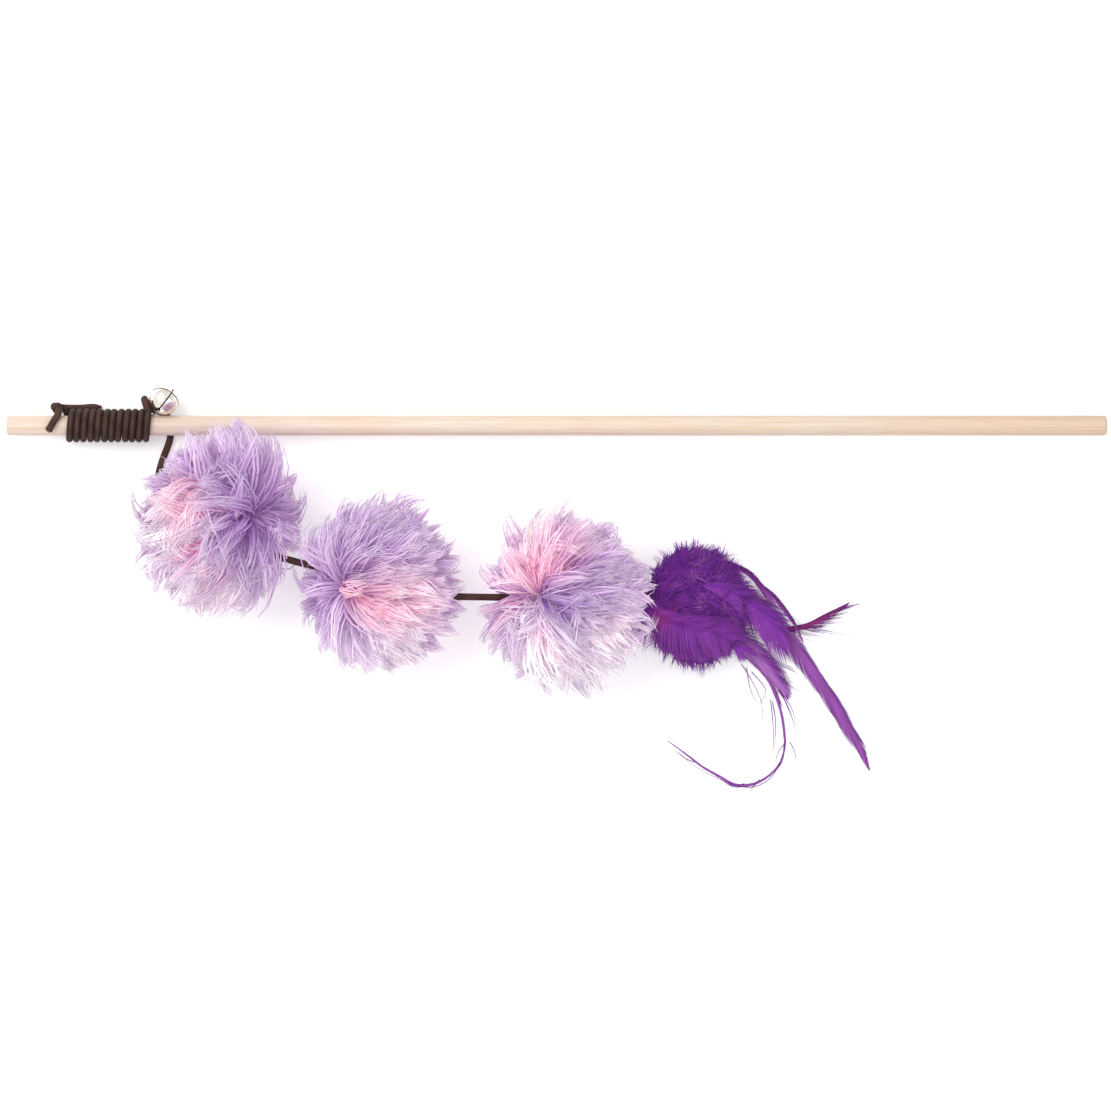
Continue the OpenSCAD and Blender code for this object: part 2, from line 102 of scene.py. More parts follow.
def mesh_object(name, points, quads, triangles, colours=None):
    """A mesh object from arrays of corners, quads, triangles and the corners' colours."""
    mesh = bpy.data.meshes.new(name)
    loops = np.concatenate([np.ravel(quads), np.ravel(triangles)]).astype(np.int32)
    sizes = np.repeat([4, 3], [np.size(quads) // 4, np.size(triangles) // 3])
    starts = np.concatenate([[0], np.cumsum(sizes)[:-1]])
    mesh.vertices.add(np.size(points) // 3)
    mesh.vertices.foreach_set("co", np.ravel(points).astype(np.float32))
    mesh.loops.add(len(loops))
    mesh.loops.foreach_set("vertex_index", loops)
    mesh.polygons.add(len(sizes))
    mesh.polygons.foreach_set("loop_start", starts.astype(np.int32))
    mesh.polygons.foreach_set("use_smooth", np.ones(len(sizes), bool))
    mesh.update(calc_edges=True)
    if colours is not None:
        layer = mesh.color_attributes.new("tint", "FLOAT_COLOR", "POINT")
        rgba = np.insert(np.reshape(colours, (-1, 3)), 3, 1, axis=1)
        layer.data.foreach_set("color", np.ravel(rgba).astype(np.float32))
    return add_object(name, mesh)


def tube_faces(rings, sides, inside_out=False):
    """Quads between rings of corners, and fans that close the ends at two more corners."""
    corner = np.arange(rings * sides).reshape(rings, sides)
    after = np.roll(corner, -1, axis=1)
    quads = np.stack([corner[:-1], after[:-1], after[1:], corner[1:]], axis=-1).reshape(-1, 4)
    first = np.full(sides, rings * sides)
    fans = np.concatenate([
        np.stack([first, after[0], corner[0]], axis=1),
        np.stack([first + 1, corner[-1], after[-1]], axis=1),
    ])
    if inside_out:
        quads, fans = quads[:, [0, 3, 2, 1]], fans[:, [0, 2, 1]]
    return quads, fans


def unit(v):
    return v / np.maximum(np.linalg.norm(v, axis=-1, keepdims=True), 1e-12)


def smooth_route(points, step=RING_STEP):
    """Points a step apart on a Catmull-Rom curve through a route's points."""
    p = np.array(points, float)
    ends = np.concatenate([[2 * p[0] - p[1]], p, [2 * p[-1] - p[-2]]])
    made = []
    for a, b, c, d in zip(ends, ends[1:], ends[2:], ends[3:]):
        pieces = max(2, int(np.linalg.norm(c - b) / step))
        t = (np.arange(pieces) / pieces)[:, None]
        made.append(0.5 * (
            2 * b + (c - a) * t + (2 * a - 5 * b + 4 * c - d) * t**2
            + (3 * b - a - 3 * c + d) * t**3
        ))
    return np.concatenate(made + [p[-1:]])


def distances(points):
    """Distance of each point along its line from the first one."""
    return np.concatenate([[0], np.cumsum(np.linalg.norm(np.diff(points, axis=0), axis=1))])


def carried_frames(points):
    """Directions along a route, with side vectors carried along it without twist."""
    ways = unit(np.gradient(points, axis=0))
    start = np.array([0, 0, 1.0])
    if abs(ways[0] @ start) > 0.9:  # too near the route's own direction
        start = np.array([0, 1.0, 0])
    sides = [unit(start - (start @ ways[0]) * ways[0])]
    for way in ways[1:]:
        sides.append(unit(sides[-1] - (sides[-1] @ way) * way))
    sides = np.array(sides)
    return ways, sides, np.cross(ways, sides)


def srgb(*levels):
    """Linear colour from 8-bit levels."""
    c = np.array(levels, float) / 255
    return np.where(c <= 0.04045, c / 12.92, ((c + 0.055) / 1.055) ** 2.4)


# Cord: a round tube, plaited in two crossing sets of strands

CORD_D = 2.8 * MM
WOUND_D = 2.78 * MM
CORD_SIDES = 48
PLAIT_STRANDS = 20
PLAIT_LENGTH = 16 * MM
PLAIT_DEPTH = 0.08 * MM
FLECKS = 0.08
# How much a melted end swells behind its tip, and is drawn in at it
END_SWELL, END_CLOSE = 0.12, 0.75
CORD_DARK = srgb(44, 24, 21)
CORD_LIGHT = srgb(94, 66, 59)
CORD_CUT = srgb(158, 128, 108)


def dress(piece, material):
    piece.data.materials.clear()
    piece.data.materials.append(material)


def take_place(piece, nodes, body, material):
    """A piece stands for nodes of the model, rides on a body and has a finish."""
    dress(piece, material)
    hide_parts(*nodes)
    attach(piece, body)


def add_cord(node, kind, body, points, diameter, cut_end=0.0, groove_shade=0.0):
    """A plaited cord along close points. cut_end is the length that is melted pale at the end.

    The grooved share darkens the flanks that face along X, where turns of a winding touch each
    other: painted shade in the grooves between turns.
    """
    ways, sides, others = carried_frames(points)
    run = distances(points)
    angle = 2 * np.pi * np.arange(CORD_SIDES) / CORD_SIDES
    turn = 2 * np.pi * run[:, None] / PLAIT_LENGTH
    lay, cross = (np.cos(PLAIT_STRANDS / 2 * angle + t) for t in (turn, -turn))
    height = np.maximum(lay, cross)
    radius = diameter / 2 - PLAIT_DEPTH * (1 - height) * 0.5
    if cut_end:
        near = np.clip(1 - (run[-1] - run) / cut_end, 0, 1)[:, None]
        radius = radius * (1 + END_SWELL * np.sin(np.pi * near)) * np.sqrt(1 - END_CLOSE * near**4)
    right, up = radius * np.cos(angle), radius * np.sin(angle)
    ring = points[:, None] + right[..., None] * sides[:, None] + up[..., None] * others[:, None]
    ring[..., 2] = np.maximum(ring[..., 2], 0)
    # Painted shade: the plait is coloured darker where it sinks between strands and lighter on the
    # strands' crowns
    share = np.clip((height + 0.4) / 1.4, 0, 1)[..., None]
    fleck = 1 + FLECKS * normal(len(points), CORD_SIDES, 1)
    tint = (CORD_DARK + (CORD_LIGHT - CORD_DARK) * share) * np.clip(fleck, 0.6, 1.4)
    # Painted shade: flanks that face the neighbouring turns are coloured darker, where shade falls
    # in the grooves
    facing = np.cos(angle) * sides[:, :1] + np.sin(angle) * others[:, :1]
    tint = tint * (1 - groove_shade * np.abs(facing) ** 1.5)[..., None]
    if cut_end:
        pale = (np.clip(1.15 - (run[-1] - run) / cut_end * 2, 0, 1) ** 2)[:, None, None]
        tint = tint + (CORD_CUT - tint) * pale
    ends = np.stack([CORD_DARK, CORD_CUT if cut_end else CORD_DARK])
    corners = np.concatenate([ring.reshape(-1, 3), points[:1], points[-1:]])
    colours = np.concatenate([tint.reshape(-1, 3), ends])
    faces = tube_faces(len(points), CORD_SIDES)
    piece = mesh_object(f"{node}_{kind}", corners, *faces, colours)
    take_place(piece, [node], body, CORD)
    return piece


# Routes of the cord's legs as in the model, in mm from its joint and the pompoms' middles
LAST_TURN_X = -162.94 * MM
STRING_JOINT = (LAST_TURN_X + 8.3 * MM, AXIS.y - 2.85 * MM, 1.4 * MM)
POMPOM_Z = 30 * MM
POMPOMS = [
    np.array([LAST_TURN_X + x * MM, AXIS.y + y * MM, POMPOM_Z])
    for x, y in ((30, -38), (92, -63), (166.5, -69))
]
# The knots behind the pompoms: distance from their middles, and heading and height in degrees
KNOT_OUT = 23 * MM
EXITS = [(-36, 0), (-13, 0), (-3.7, -20)]
KNOT_R = 2.8 * MM
KNOT_POINTS = 90
# The cord is drawn thinner in a knot
KNOT_PULL = 0.9
LEG_1_TABLE = [
    (-0.5, -3.0, 1.4), (-1.6, -6.2, 1.4), (-2.9, -9.6, 1.4), (-4.0, -12.8, 1.5),
    (-4.8, -15.8, 1.6), (-5.1, -18.6, 1.9), (-4.7, -21.2, 2.6), (-3.4, -23.2, 3.8),
]
LEG_1_POMPOM = [
    (-23.1, 10.8, -25.5), (-21.2, 9.9, -23.3), (-19.9, 9.3, -21.9), (-12.8, 6.0, -14.1),
    (-6.4, 3.0, -7.1), (-2.2, 1.0, -2.4), (0.1, -0.2, -0.5), (2.7, -2.0, 0), (9.7, -7.1, 0),
]
LEG_2 = [
    (-38.7, 10.2, 0), (-34.8, 9.2, 0), (-30.0, 7.9, 0), (-19.3, 5.1, 0), (-9.7, 2.6, 0),
    (0, 0, 0), (9.7, -2.2, 0),
]
LEG_3 = [
    (-46.0, 0.7, 0), (-42.0, 0.7, 0), (-38.0, 0.6, 0), (-31.0, 0.5, 0), (-20.0, 0.3, 0),
    (-10.0, 0.2, 0), (-3.0, 0, 0), (0, 0, -0.2), (2.8, -0.2, -1.0), (9.4, -0.6, -3.4),
]


def aim(heading, height):
    """Unit vector along a heading and a height angle, both in degrees."""
    a, b = math.radians(heading), math.radians(height)
    return np.array([math.cos(b) * math.cos(a), math.cos(b) * math.sin(a), math.sin(b)])


def knot_at(k):
    return POMPOMS[k] + KNOT_OUT * aim(*EXITS[k])


def leg_end(k):
    return POMPOMS[k] + (KNOT_OUT - KNOT_R) * aim(*EXITS[k])


def leg_start(k):
    return knot_at(k - 1) + KNOT_R * unit(POMPOMS[k] - knot_at(k - 1))


def placed(points, origin):
    return [np.array(origin) + np.array(p) * MM for p in points]


LEG_ROUTES = [
    [np.array(STRING_JOINT)]
    + placed(LEG_1_TABLE, (STRING_JOINT[0], STRING_JOINT[1], 0))
    + placed(LEG_1_POMPOM, POMPOMS[0])
    + [leg_end(0)],
    [leg_start(1)] + placed(LEG_2, POMPOMS[1]) + [leg_end(1)],
    [leg_start(2)] + placed(LEG_3, POMPOMS[2]) + [leg_end(2)],
]


def knot_route(centre, radius, phase):
    """A small overhand knot: a closed three-lobed loop that crosses over itself."""
    t = np.linspace(0, 2 * np.pi, KNOT_POINTS) + phase
    loop = np.stack(
        [np.sin(t) + 2 * np.sin(2 * t), np.cos(t) - 2 * np.cos(2 * t), -1.5 * np.sin(3 * t)],
        axis=1,
    )
    return centre + loop * radius / 3


def add_cords():
    """The legs between the pompoms with the stopper knots behind them."""
    for k, (node, body) in enumerate(
        (("cord_knot_1", "string_2"), ("cord_knot_2", "string_3"), ("tuft_knot", "tuft"))
    ):
        route = knot_route(knot_at(k), KNOT_R - CORD_D / 2 * KNOT_PULL, 0.4 * k)
        add_cord(node, "loops", body, route, CORD_D * KNOT_PULL)
    for k, route in enumerate(LEG_ROUTES):
        points = smooth_route(route)
        leg = add_cord(f"cord_leg_{k + 1}", "braid", f"string_{k + 1}", points, CORD_D)


# Materials. Colours are 8-bit levels

WHITE = (255, 255, 255)
# Painted shade for the bell's inside, seen through its slots
BELL_INSIDE_SHADE = (22, 17, 12)


def colour(*levels):
    return (*srgb(*levels), 1.0)


def feed(node, inputs):
    """Links or sets a node's inputs by name or number."""
    for key, value in inputs.items():
        if isinstance(value, bpy.types.NodeSocket):
            node.id_data.links.new(value, node.inputs[key])
        else:
            node.inputs[key].default_value = value


def add_node(tree, kind, inputs=None, **settings):
    node = tree.nodes.new("ShaderNode" + kind)
    for key, value in settings.items():
        setattr(node, key, value)
    feed(node, inputs or {})
    return node


def new_material(name, inputs):
    """A node material with its tree and its surface shader, whose inputs are set."""
    material = bpy.data.materials.new(name)
    material.use_nodes = True
    tree = material.node_tree
    shader = tree.nodes["Principled BSDF"]
    feed(shader, inputs)
    return material, tree, shader


def ramp(tree, factor, stops):
    """A colour ramp with stops of (place, colour), the two outer ones first."""
    node = add_node(tree, "ValToRGB", {"Fac": factor})
    elements = node.color_ramp.elements
    for i, (place, level) in enumerate(stops):
        element = elements[i] if i < 2 else elements.new(place)
        element.position = place
        element.color = colour(*level)
    return node.outputs["Color"]


def mapped(tree, value, low, high, to_low=0.0, to_high=1.0):
    return add_node(tree, "MapRange", {
        "Value": value, "From Min": low, "From Max": high, "To Min": to_low, "To Max": to_high,
    }).outputs["Result"]


def position(tree):
    return add_node(tree, "TexCoord").outputs["Object"]


def noise(tree, scale, detail=3.0, roughness=0.5, squeeze=(1, 1, 1)):
    """Noise over the object, finer along the axes that are squeezed."""
    at = add_node(tree, "Mapping", {"Vector": position(tree), "Scale": squeeze})
    return add_node(tree, "TexNoise", {
        "Vector": at.outputs["Vector"], "Scale": scale, "Detail": detail, "Roughness": roughness,
    }).outputs["Fac"]


def bump(tree, height, strength, distance):
    node = add_node(tree, "Bump", {
        "Height": height, "Strength": strength, "Distance": distance,
    })
    feed(tree.nodes["Principled BSDF"], {"Normal": node.outputs["Normal"]})


def mixed(tree, factor, a, b, kind="MIX"):
    """Two colours mixed. The node has sockets of one name for each kind of value."""
    node = add_node(tree, "Mix", data_type="RGBA", blend_type=kind)
    numbers = {s.name: i for i, s in enumerate(node.inputs) if s.enabled}
    feed(node, {numbers["Factor"]: factor, numbers["A"]: a, numbers["B"]: b})
    return next(s for s in node.outputs if s.enabled)


def wood_material():
    material, tree, shader = new_material(
        "dowel_wood", {"Roughness": 0.55, "Specular IOR Level": 0.35}
    )
    grain = noise(tree, 1.0, 6.0, 0.6, (9, 900, 900))
    pores = noise(tree, 1.0, squeeze=(60, 2600, 2600))
    patches = noise(tree, 1.0, 2.0, squeeze=(14, 60, 60))
    # Painted shade: the wood's colour darkens from the middle towards the right end along X,
    # standing in for the light falling off along the dowel
    x = add_node(tree, "SeparateXYZ", {"Vector": position(tree)}).outputs["X"]
    tone = ramp(tree, mapped(tree, x, dowel_low.x, dowel_high.x), [
        (0.0, (231, 219, 208)), (1.0, (217, 198, 181)), (0.5, (230, 221, 209)),
    ])
    for share, factor, dark, light in (
        (0.55, grain, (0.36, (238, 222, 208)), (0.62, WHITE)),
        (0.45, pores, (0.38, (238, 226, 218)), (0.56, WHITE)),
        (1.0, patches, (0.4, (255, 246, 238)), (0.7, WHITE)),
    ):
        tone = mixed(tree, share, tone, ramp(tree, factor, [dark, light]), "MULTIPLY")
    feed(shader, {"Base Color": tone})
    bump(tree, grain, 0.25, 0.2 * MM)
    return material


def tinted_material(name, roughness, sheen, strength, scale, specular, glow=0.0):
    """Fibres whose colour each corner carries, with fine mottling over it.

    glow is painted light: the fibres give off light in their own colour, which lifts the shade
    between them; it stands in for the light that comes through fibres thinner than the ones drawn
    here.
    """
    material, tree, shader = new_material(name, {
        "Roughness": roughness, "Specular IOR Level": specular, "Sheen Weight": sheen,
        "Sheen Roughness": 0.4, "Emission Strength": glow,
    })
    tint = add_node(tree, "Attribute", attribute_name="tint").outputs["Color"]
    fine = noise(tree, scale, 3.0, 0.6)
    mottle = ramp(tree, fine, [(0.3, (205, 205, 205)), (0.7, WHITE)])
    tone = mixed(tree, strength, tint, mottle, "MULTIPLY")
    # Painted light: the emission in the fibres' own colour makes them glow though they are no lamp
    feed(shader, {"Base Color": tone, "Emission Color": tone})
    return material


def cord_material():
    material = tinted_material("cord_braid", 0.75, 0.05, 0.7, 3500, 0.2)
    tree = material.node_tree
    bump(tree, noise(tree, 6000, 2.0), 0.4, 0.1 * MM)
    return material


def metal_material(name, light, dark, roughness, scale):
    material, tree, shader = new_material(name, {"Metallic": 1.0})
    cloudy = noise(tree, scale, 4.0, 0.6)
    wear = noise(tree, scale * 3)
    feed(shader, {
        "Base Color": ramp(tree, cloudy, [(0.3, dark), (0.65, light)]),
        "Roughness": mapped(tree, wear, 0.0, 1.0, roughness * 0.7, roughness * 1.5),
    })
    bump(tree, cloudy, 0.08, 0.3 * MM)
    return material


def bell_material():
    """Nickel plate, with painted shade on the inside, which is told by its distance from the
    middle.
    """
    material = metal_material(
        "bell_nickel", (250, 246, 239), (218, 209, 196), 0.14, 500
    )
    tree = material.node_tree
    shader = tree.nodes["Principled BSDF"]
    low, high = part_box("bell_shell")
    radius = (high.x - low.x) / 2
    middle = (low + high) / 2
    far = add_node(tree, "VectorMath", {0: position(tree), 1: middle}, operation="DISTANCE")
    outside = mapped(tree, far.outputs["Value"], radius - 0.3 * MM, radius - 0.1 * MM)
    plate = shader.inputs["Base Color"].links[0].from_socket
    feed(shader, {"Base Color": mixed(tree, outside, colour(*BELL_INSIDE_SHADE), plate)})
    return material


def fabric_material(name, light, dark, scale):
    """Plain fibrous stuff, such as knitted backing or thread."""
    material, tree, shader = new_material(name, {"Roughness": 0.85, "Sheen Weight": 0.3})
    loose = noise(tree, scale, 5.0, 0.7)
    feed(shader, {"Base Color": ramp(tree, loose, [(0.3, dark), (0.7, light)])})
    bump(tree, loose, 0.6, 0.5 * MM)
    return material


WOOD = wood_material()
CORD = cord_material()
NICKEL = bell_material()
STEEL = metal_material("clapper_steel", (150, 150, 152), (110, 110, 112), 0.35, 900)
# The last number of pile, down and vanes is their painted glow, light they give off in their own
# colour
PILE = tinted_material("pompom_pile", 0.6, 0.15, 0.4, 900, 0.15, 0.29)
DOWN = tinted_material("feather_down", 0.7, 0.05, 0.5, 1500, 0.12, 0.1)
VANE = tinted_material("feather_vane", 0.55, 0.05, 0.5, 1500, 0.2, 0.06)
BACKING = fabric_material("fur_backing", (150, 110, 190), (110, 76, 150), 1400)
THREAD = fabric_material("gather_thread", (176, 120, 178), (128, 78, 132), 2500)
WHIPPING = fabric_material("whipping_thread", (96, 44, 128), (58, 22, 84), 2500)
# The model's own pieces that stay in view
NODE_LOOKS = {
    "wand_dowel": WOOD, "bell_shell": NICKEL, "bell_eyelet": NICKEL, "bell_clapper": STEEL,
    "tuft_whipping": WHIPPING, **{f"pompom_{k}_gather": THREAD for k in (1, 2, 3)},
}
for node_name, look in NODE_LOOKS.items():
    dress(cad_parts[node_name], look)
add_cords()


# Cord on the dowel's tip. Angles are in degrees, and points in mm from the first or last turn

FIRST_TURN_X = -196.3 * MM
TURNS = 12
WIND_PITCH = (LAST_TURN_X - FIRST_TURN_X) / TURNS
WIND_FROM, WIND_TO = -20, 60
WIND_R = DOWEL_R + 1.4 * MM
WIND_TOTAL = 360 * TURNS - (WIND_TO - WIND_FROM)
TAIL_POINTS = [
    (-2.6, 6.85, 9.0), (-2.6, 5.4, 10.0), (-3.3, 3.6, 11.0), (-4.4, 1.8, 11.8),
    (-5.6, -0.4, 12.0), (-6.8, -2.6, 11.5),
]
RETURN_POINTS = [
    (-2.2, 7.4, 4.0), (-0.8, 7.2, 2.8), (1.0, 7.1, 2.2), (3.0, 7.1, 2.0), (6.0, 7.1, 2.0),
    (9.0, 7.4, 2.2), (11.0, 7.4, 2.2), (12.4, 7.1, 1.9), (13.4, 6.8, 1.5),
]
LOOP_POINTS = [
    (-0.9, 7.2, 9.2), (-1.5, 9.0, 8.9), (-1.9, 10.3, 7.9), (-1.9, 10.6, 6.6),
    (-1.5, 9.7, 5.5), (-0.6, 7.9, 4.9), (0.5, 6.7, 4.4), (1.9, 6.2, 3.6),
    (3.2, 5.9, 3.0), (4.9, 5.2, 2.2), (6.6, 4.0, 1.5), (7.8, 2.2, 1.2),
    (8.3, 0, 1.1), (8.3, -1.4, 1.1),
]
START_KNOT = (-3.9, 7.2, 6.2)
START_KNOT_R = 1.25 * MM
MELTED = 1.8 * MM
# How far the turns wander from even spacing
SLACK = 0.1 * MM


def wind_points():
    """The winding's middle line, left-handed round the dowel, with a straight lead each side."""
    steps = int(WIND_TOTAL / 360 * 2 * np.pi * WIND_R / RING_STEP)
    turned = np.linspace(0, WIND_TOTAL, steps)
    angle = np.radians(WIND_FROM - turned)
    slack = SLACK * np.sin(turned / 360 * 2.4) * np.sin(np.pi * turned / WIND_TOTAL)
    points = np.stack([
        FIRST_TURN_X + WIND_PITCH * (turned - WIND_FROM) / 360 + slack,
        AXIS.y + WIND_R * np.cos(angle),
        AXIS.z + WIND_R * np.sin(angle),
    ], axis=1)
    lead = np.linspace(WOUND_D, RING_STEP, 8)[:, None]
    before = points[0] - lead * unit(points[1] - points[0])
    after = points[-1] + lead[::-1] * unit(points[-1] - points[-2])
    return np.concatenate([before, points, after])


def add_stick_cords():
    winding = wind_points()
    from_first = (FIRST_TURN_X, AXIS.y, 0)
    from_last = (LAST_TURN_X, AXIS.y, 0)
    straight_on = winding[-1] + WOUND_D / 4 * unit(winding[-1] - winding[-2])
    loop = [winding[-1], straight_on] + placed(LOOP_POINTS, from_last)
    back = smooth_route(placed(RETURN_POINTS, from_first))
    knot = knot_route(placed([START_KNOT], from_first)[0], START_KNOT_R, phase=0.9)
    tail = smooth_route(placed(TAIL_POINTS, from_first))
    add_cord("cord_winding", "braid", "stick", winding, WOUND_D, groove_shade=0.8)
    add_cord("bell_loop", "braid", "stick", smooth_route(loop), WOUND_D)
    add_cord("return_strand", "braid", "stick", back, WOUND_D)
    add_cord("start_knot", "loops", "stick", knot, WOUND_D * 0.86)
    add_cord("cord_tail", "braid", "stick", tail, CORD_D, cut_end=MELTED)


add_stick_cords()


# Strands: tapered three-sided hairs, all of a piece made at once


def strand_mesh(name, lines, radii, tints):
    """Hairs as one mesh. lines is (hairs, points, 3), radii and tints go with each point.

    The last point of a line is the hair's tip, and the first is closed by one face.
    """
    count, rings = lines.shape[:2]
    ways = unit(np.gradient(lines, axis=1))
    sides = unit(np.cross(ways, unit(normal(count, 1, 3))))
    others = np.cross(ways, sides)
    angle = (2 * np.pi * np.arange(3) / 3)[:, None]
    out = np.cos(angle) * sides[:, :-1, None] + np.sin(angle) * others[:, :-1, None]
    body = lines[:, :-1, None] + radii[:, :-1, None, None] * out
    points = np.concatenate([body.reshape(count, -1, 3), lines[:, -1:]], axis=1)
    points[..., 2] = np.maximum(points[..., 2], LOWEST)
    first = (np.arange(count) * points.shape[1])[:, None, None]
    quads = tube_faces(rings - 1, 3)[0] + first
    a, b, c, tip = range(points.shape[1] - 4, points.shape[1])
    ends = np.array([[a, b, tip], [b, c, tip], [c, a, tip], [0, 2, 1]]) + first
    colours = np.concatenate([np.repeat(tints[:, :-1], 3, axis=1), tints[:, -1:]], axis=1)
    return mesh_object(name, points, quads, ends, colours)


def leftwards(ways):
    """Directions in the table's plane, a quarter turn from the given ones."""
    return np.stack([-ways[..., 1], ways[..., 0]], axis=-1)


def turn_about(v, axis, angle):
    """Vectors turned about unit axes by angles, row by row."""
    c, s = np.cos(angle)[..., None], np.sin(angle)[..., None]
    return v * c + np.cross(axis, v) * s + axis * np.sum(axis * v, -1, keepdims=True) * (1 - c)


def even_directions(count):
    """Directions spread evenly over a sphere."""
    i = np.arange(count) + 0.5
    height = 1 - 2 * i / count
    around = np.pi * (1 + 5**0.5) * i
    flat = np.sqrt(1 - height**2)
    return np.stack([flat * np.cos(around), flat * np.sin(around), height], axis=1)


# Pompoms: locks of hair combed away from a whorl, in regions of colour

LAVENDER = srgb(201, 168, 213)
DEEP = srgb(152, 102, 178)
LILAC = srgb(228, 212, 233)
PINK = srgb(253, 182, 206)
BLUSH = srgb(246, 217, 227)
HOT = srgb(224, 80, 158)
PALE = srgb(247, 239, 244)
GREYGREEN = srgb(160, 164, 140)

# Places of a pompom are shares of its radius to the right and up in the view. Whorls have a
# weight, spikes how much further the pile reaches in mm, and regions a side (1 towards the
# camera, -1 away), how far they spread in degrees, a colour and a strength
POMPOM_LOOKS = [
    {
        "whorls": [(0.66, 0.12, 1), (-0.28, 0.62, 0.6)], "disorder": 1.5, "reach": 35,
        "spikes": [(0.1, 0.98, 7), (0.42, 0.88, 6), (-0.7, -0.7, 5), (-0.25, -0.95, 5),
                   (-0.97, 0.2, -4), (0.15, -0.95, 2), (0.97, 0, -2), (0.85, -0.45, -4),
                   (-0.6, 0.75, 1)],
        "regions": [
            (-0.7, 0.15, 1, 34, BLUSH, 1), (-0.45, 0.2, 1, 20, PINK, 0.8),
            (-0.9, -0.2, 1, 26, PALE, 0.75), (-0.1, -0.82, 1, 34, (BLUSH + PALE) / 2, 1),
            (-0.5, -0.62, 1, 20, LILAC, 0.8), (0.5, 0.05, 1, 36, DEEP, 0.85),
            (0.15, 0.45, 1, 26, DEEP, 0.6), (0.25, -0.45, 1, 24, DEEP, 0.8),
            (-0.08, -0.68, 1, 7, HOT, 0.4), (-0.37, -0.46, 1, 8, HOT, 0.85),
            (0.3, 0.4, -1, 50, BLUSH, 0.9), (-0.4, -0.3, -1, 40, LILAC, 0.8),
        ],
    },
    {
        "whorls": [(-0.7, -0.12, 1)], "disorder": 0.7, "reach": 34.5,
        "spikes": [(0.1, 0.95, 2), (-0.35, -0.92, 3), (0.6, -0.78, 2), (0.97, 0.1, -3),
                   (-0.75, 0.55, -4), (0.6, 0.75, -2)],
        "regions": [
            (-0.25, 0.2, 1, 22, DEEP, 0.9), (0.25, 0.45, 1, 26, DEEP, 0.4),
            (0.35, -0.16, 1, 22, BLUSH, 0.8), (0.75, -0.2, 1, 30, BLUSH, 0.35),
            (-0.28, -0.24, 1, 13, HOT, 0.6), (0.08, -0.36, 1, 22, PINK, 1),
            (0.48, -0.45, 1, 18, PINK, 0.5), (-0.66, -0.1, 1, 20, BLUSH, 1),
            (-0.46, -0.2, 1, 14, PINK, 1), (-0.8, -0.4, 1, 14, LAVENDER, 0.8),
            (-0.1, -0.92, 1, 36, LILAC, 0.9), (0.35, -0.8, 1, 24, PALE, 0.6),
            (0.3, -0.4, -1, 50, PINK, 0.8), (-0.4, 0.5, -1, 45, LILAC, 0.8),
        ],
    },
    {
        "whorls": [(-0.6, 0.12, 1)], "disorder": 1, "reach": 35,
        "spikes": [(0.1, 0.95, 2), (-0.6, -0.75, 4), (0, -1, 4), (0.35, -0.9, 3),
                   (0.97, 0.12, 1), (0.72, 0.68, -4), (-0.67, 0.75, -1.5)],
        "regions": [
            (-0.5, 0.5, 1, 38, PINK, 1.05), (-0.85, 0.35, 1, 20, BLUSH, 0.7),
            (-0.35, 0.92, 1, 16, PALE, 0.8), (0.05, 0.55, 1, 20, PINK, 0.7),
            (-0.42, 0.92, 1, 4, GREYGREEN, 1), (0.45, 0.3, 1, 26, LAVENDER, 0.8),
            (-0.05, -0.18, 1, 28, DEEP, 1.25), (0.5, -0.05, 1, 24, DEEP, 0.8),
            (-0.62, -0.35, 1, 26, LILAC, 0.9), (-0.85, -0.15, 1, 14, PINK, 0.6),
            (0.65, -0.45, 1, 18, BLUSH, 0.8), (0.05, -0.9, 1, 44, PALE, 1),
            (-0.3, -0.62, 1, 12, PINK, 0.5), (0.2, 0.2, -1, 60, BLUSH, 0.8),
        ],
    },
]
# Places further out than this count as being on the ball's rim
RIM = 0.98
ROOT_R = 13.7 * MM
LOCKS = 509
HAIRS_PER_LOCK = 11
HAIR_POINTS = 7
HAIR_R = 0.36 * MM
HAIR_LENGTHS = (20 * MM, 42 * MM)
WAVE = 0.8 * MM
# Shares of a pompom's reach: a lock's mean and spread, and what the under layer lacks
LOCK_REACH, REACH_SPREAD, UNDER_LACK = 0.93, 0.085, 0.07
# Degrees that locks lean everywhere, lean more by a whorl, and stray from their combing
LEAN, COMBED_LEAN, STRAY = 8, 42, 17
WHORL_SPREAD = 1.05
# Shares of hairs that stand off their lock, and of locks that lie across the others
LOOSE_SHARE, CROSSING_SHARE = 0.2, 0.07
# Spread of shades, their bounds, and how much of them each colour takes, so that dark locks
# turn lilac and not grey
LOCK_SHADES, HAIR_SHADES = 0.25, 0.04
SHADE_BOUNDS = (0.66, 1.34)
SHADE_HUE = np.array([0.9, 1.25, 0.75])
# What a hair's root keeps of its colour, darkened as painted shade deep in the pile, and how much
# of its tip is PALE
PAINTED_ROOT_SHADE = np.array([0.49, 0.31, 0.55])
TIP_PALENESS = 0.46


def seen_direction(x, y, side=1):
    """Direction on the ball that shows at a place of the view."""
    flat = math.hypot(x, y)
    if flat > RIM:
        x, y, flat = x * RIM / flat, y * RIM / flat, RIM
    return np.array([x, y, side * math.sqrt(1 - flat**2)])


def region_colours(looks, directions):
    """Colour of the hair at each direction, blended from the pompom's regions."""
    tint = np.tile(LAVENDER, (len(directions), 1))
    for x, y, side, spread, level, strength in looks["regions"]:
        facing = np.clip(directions @ seen_direction(x, y, side), -1, 1)
        angle = np.degrees(np.arccos(facing))
        wobble = 1 + 0.18 * normal(len(directions))
        share = strength * np.exp(-((angle * wobble / spread) ** 2) * 1.2)[:, None]
        tint = tint + (level - tint) * share
    return tint


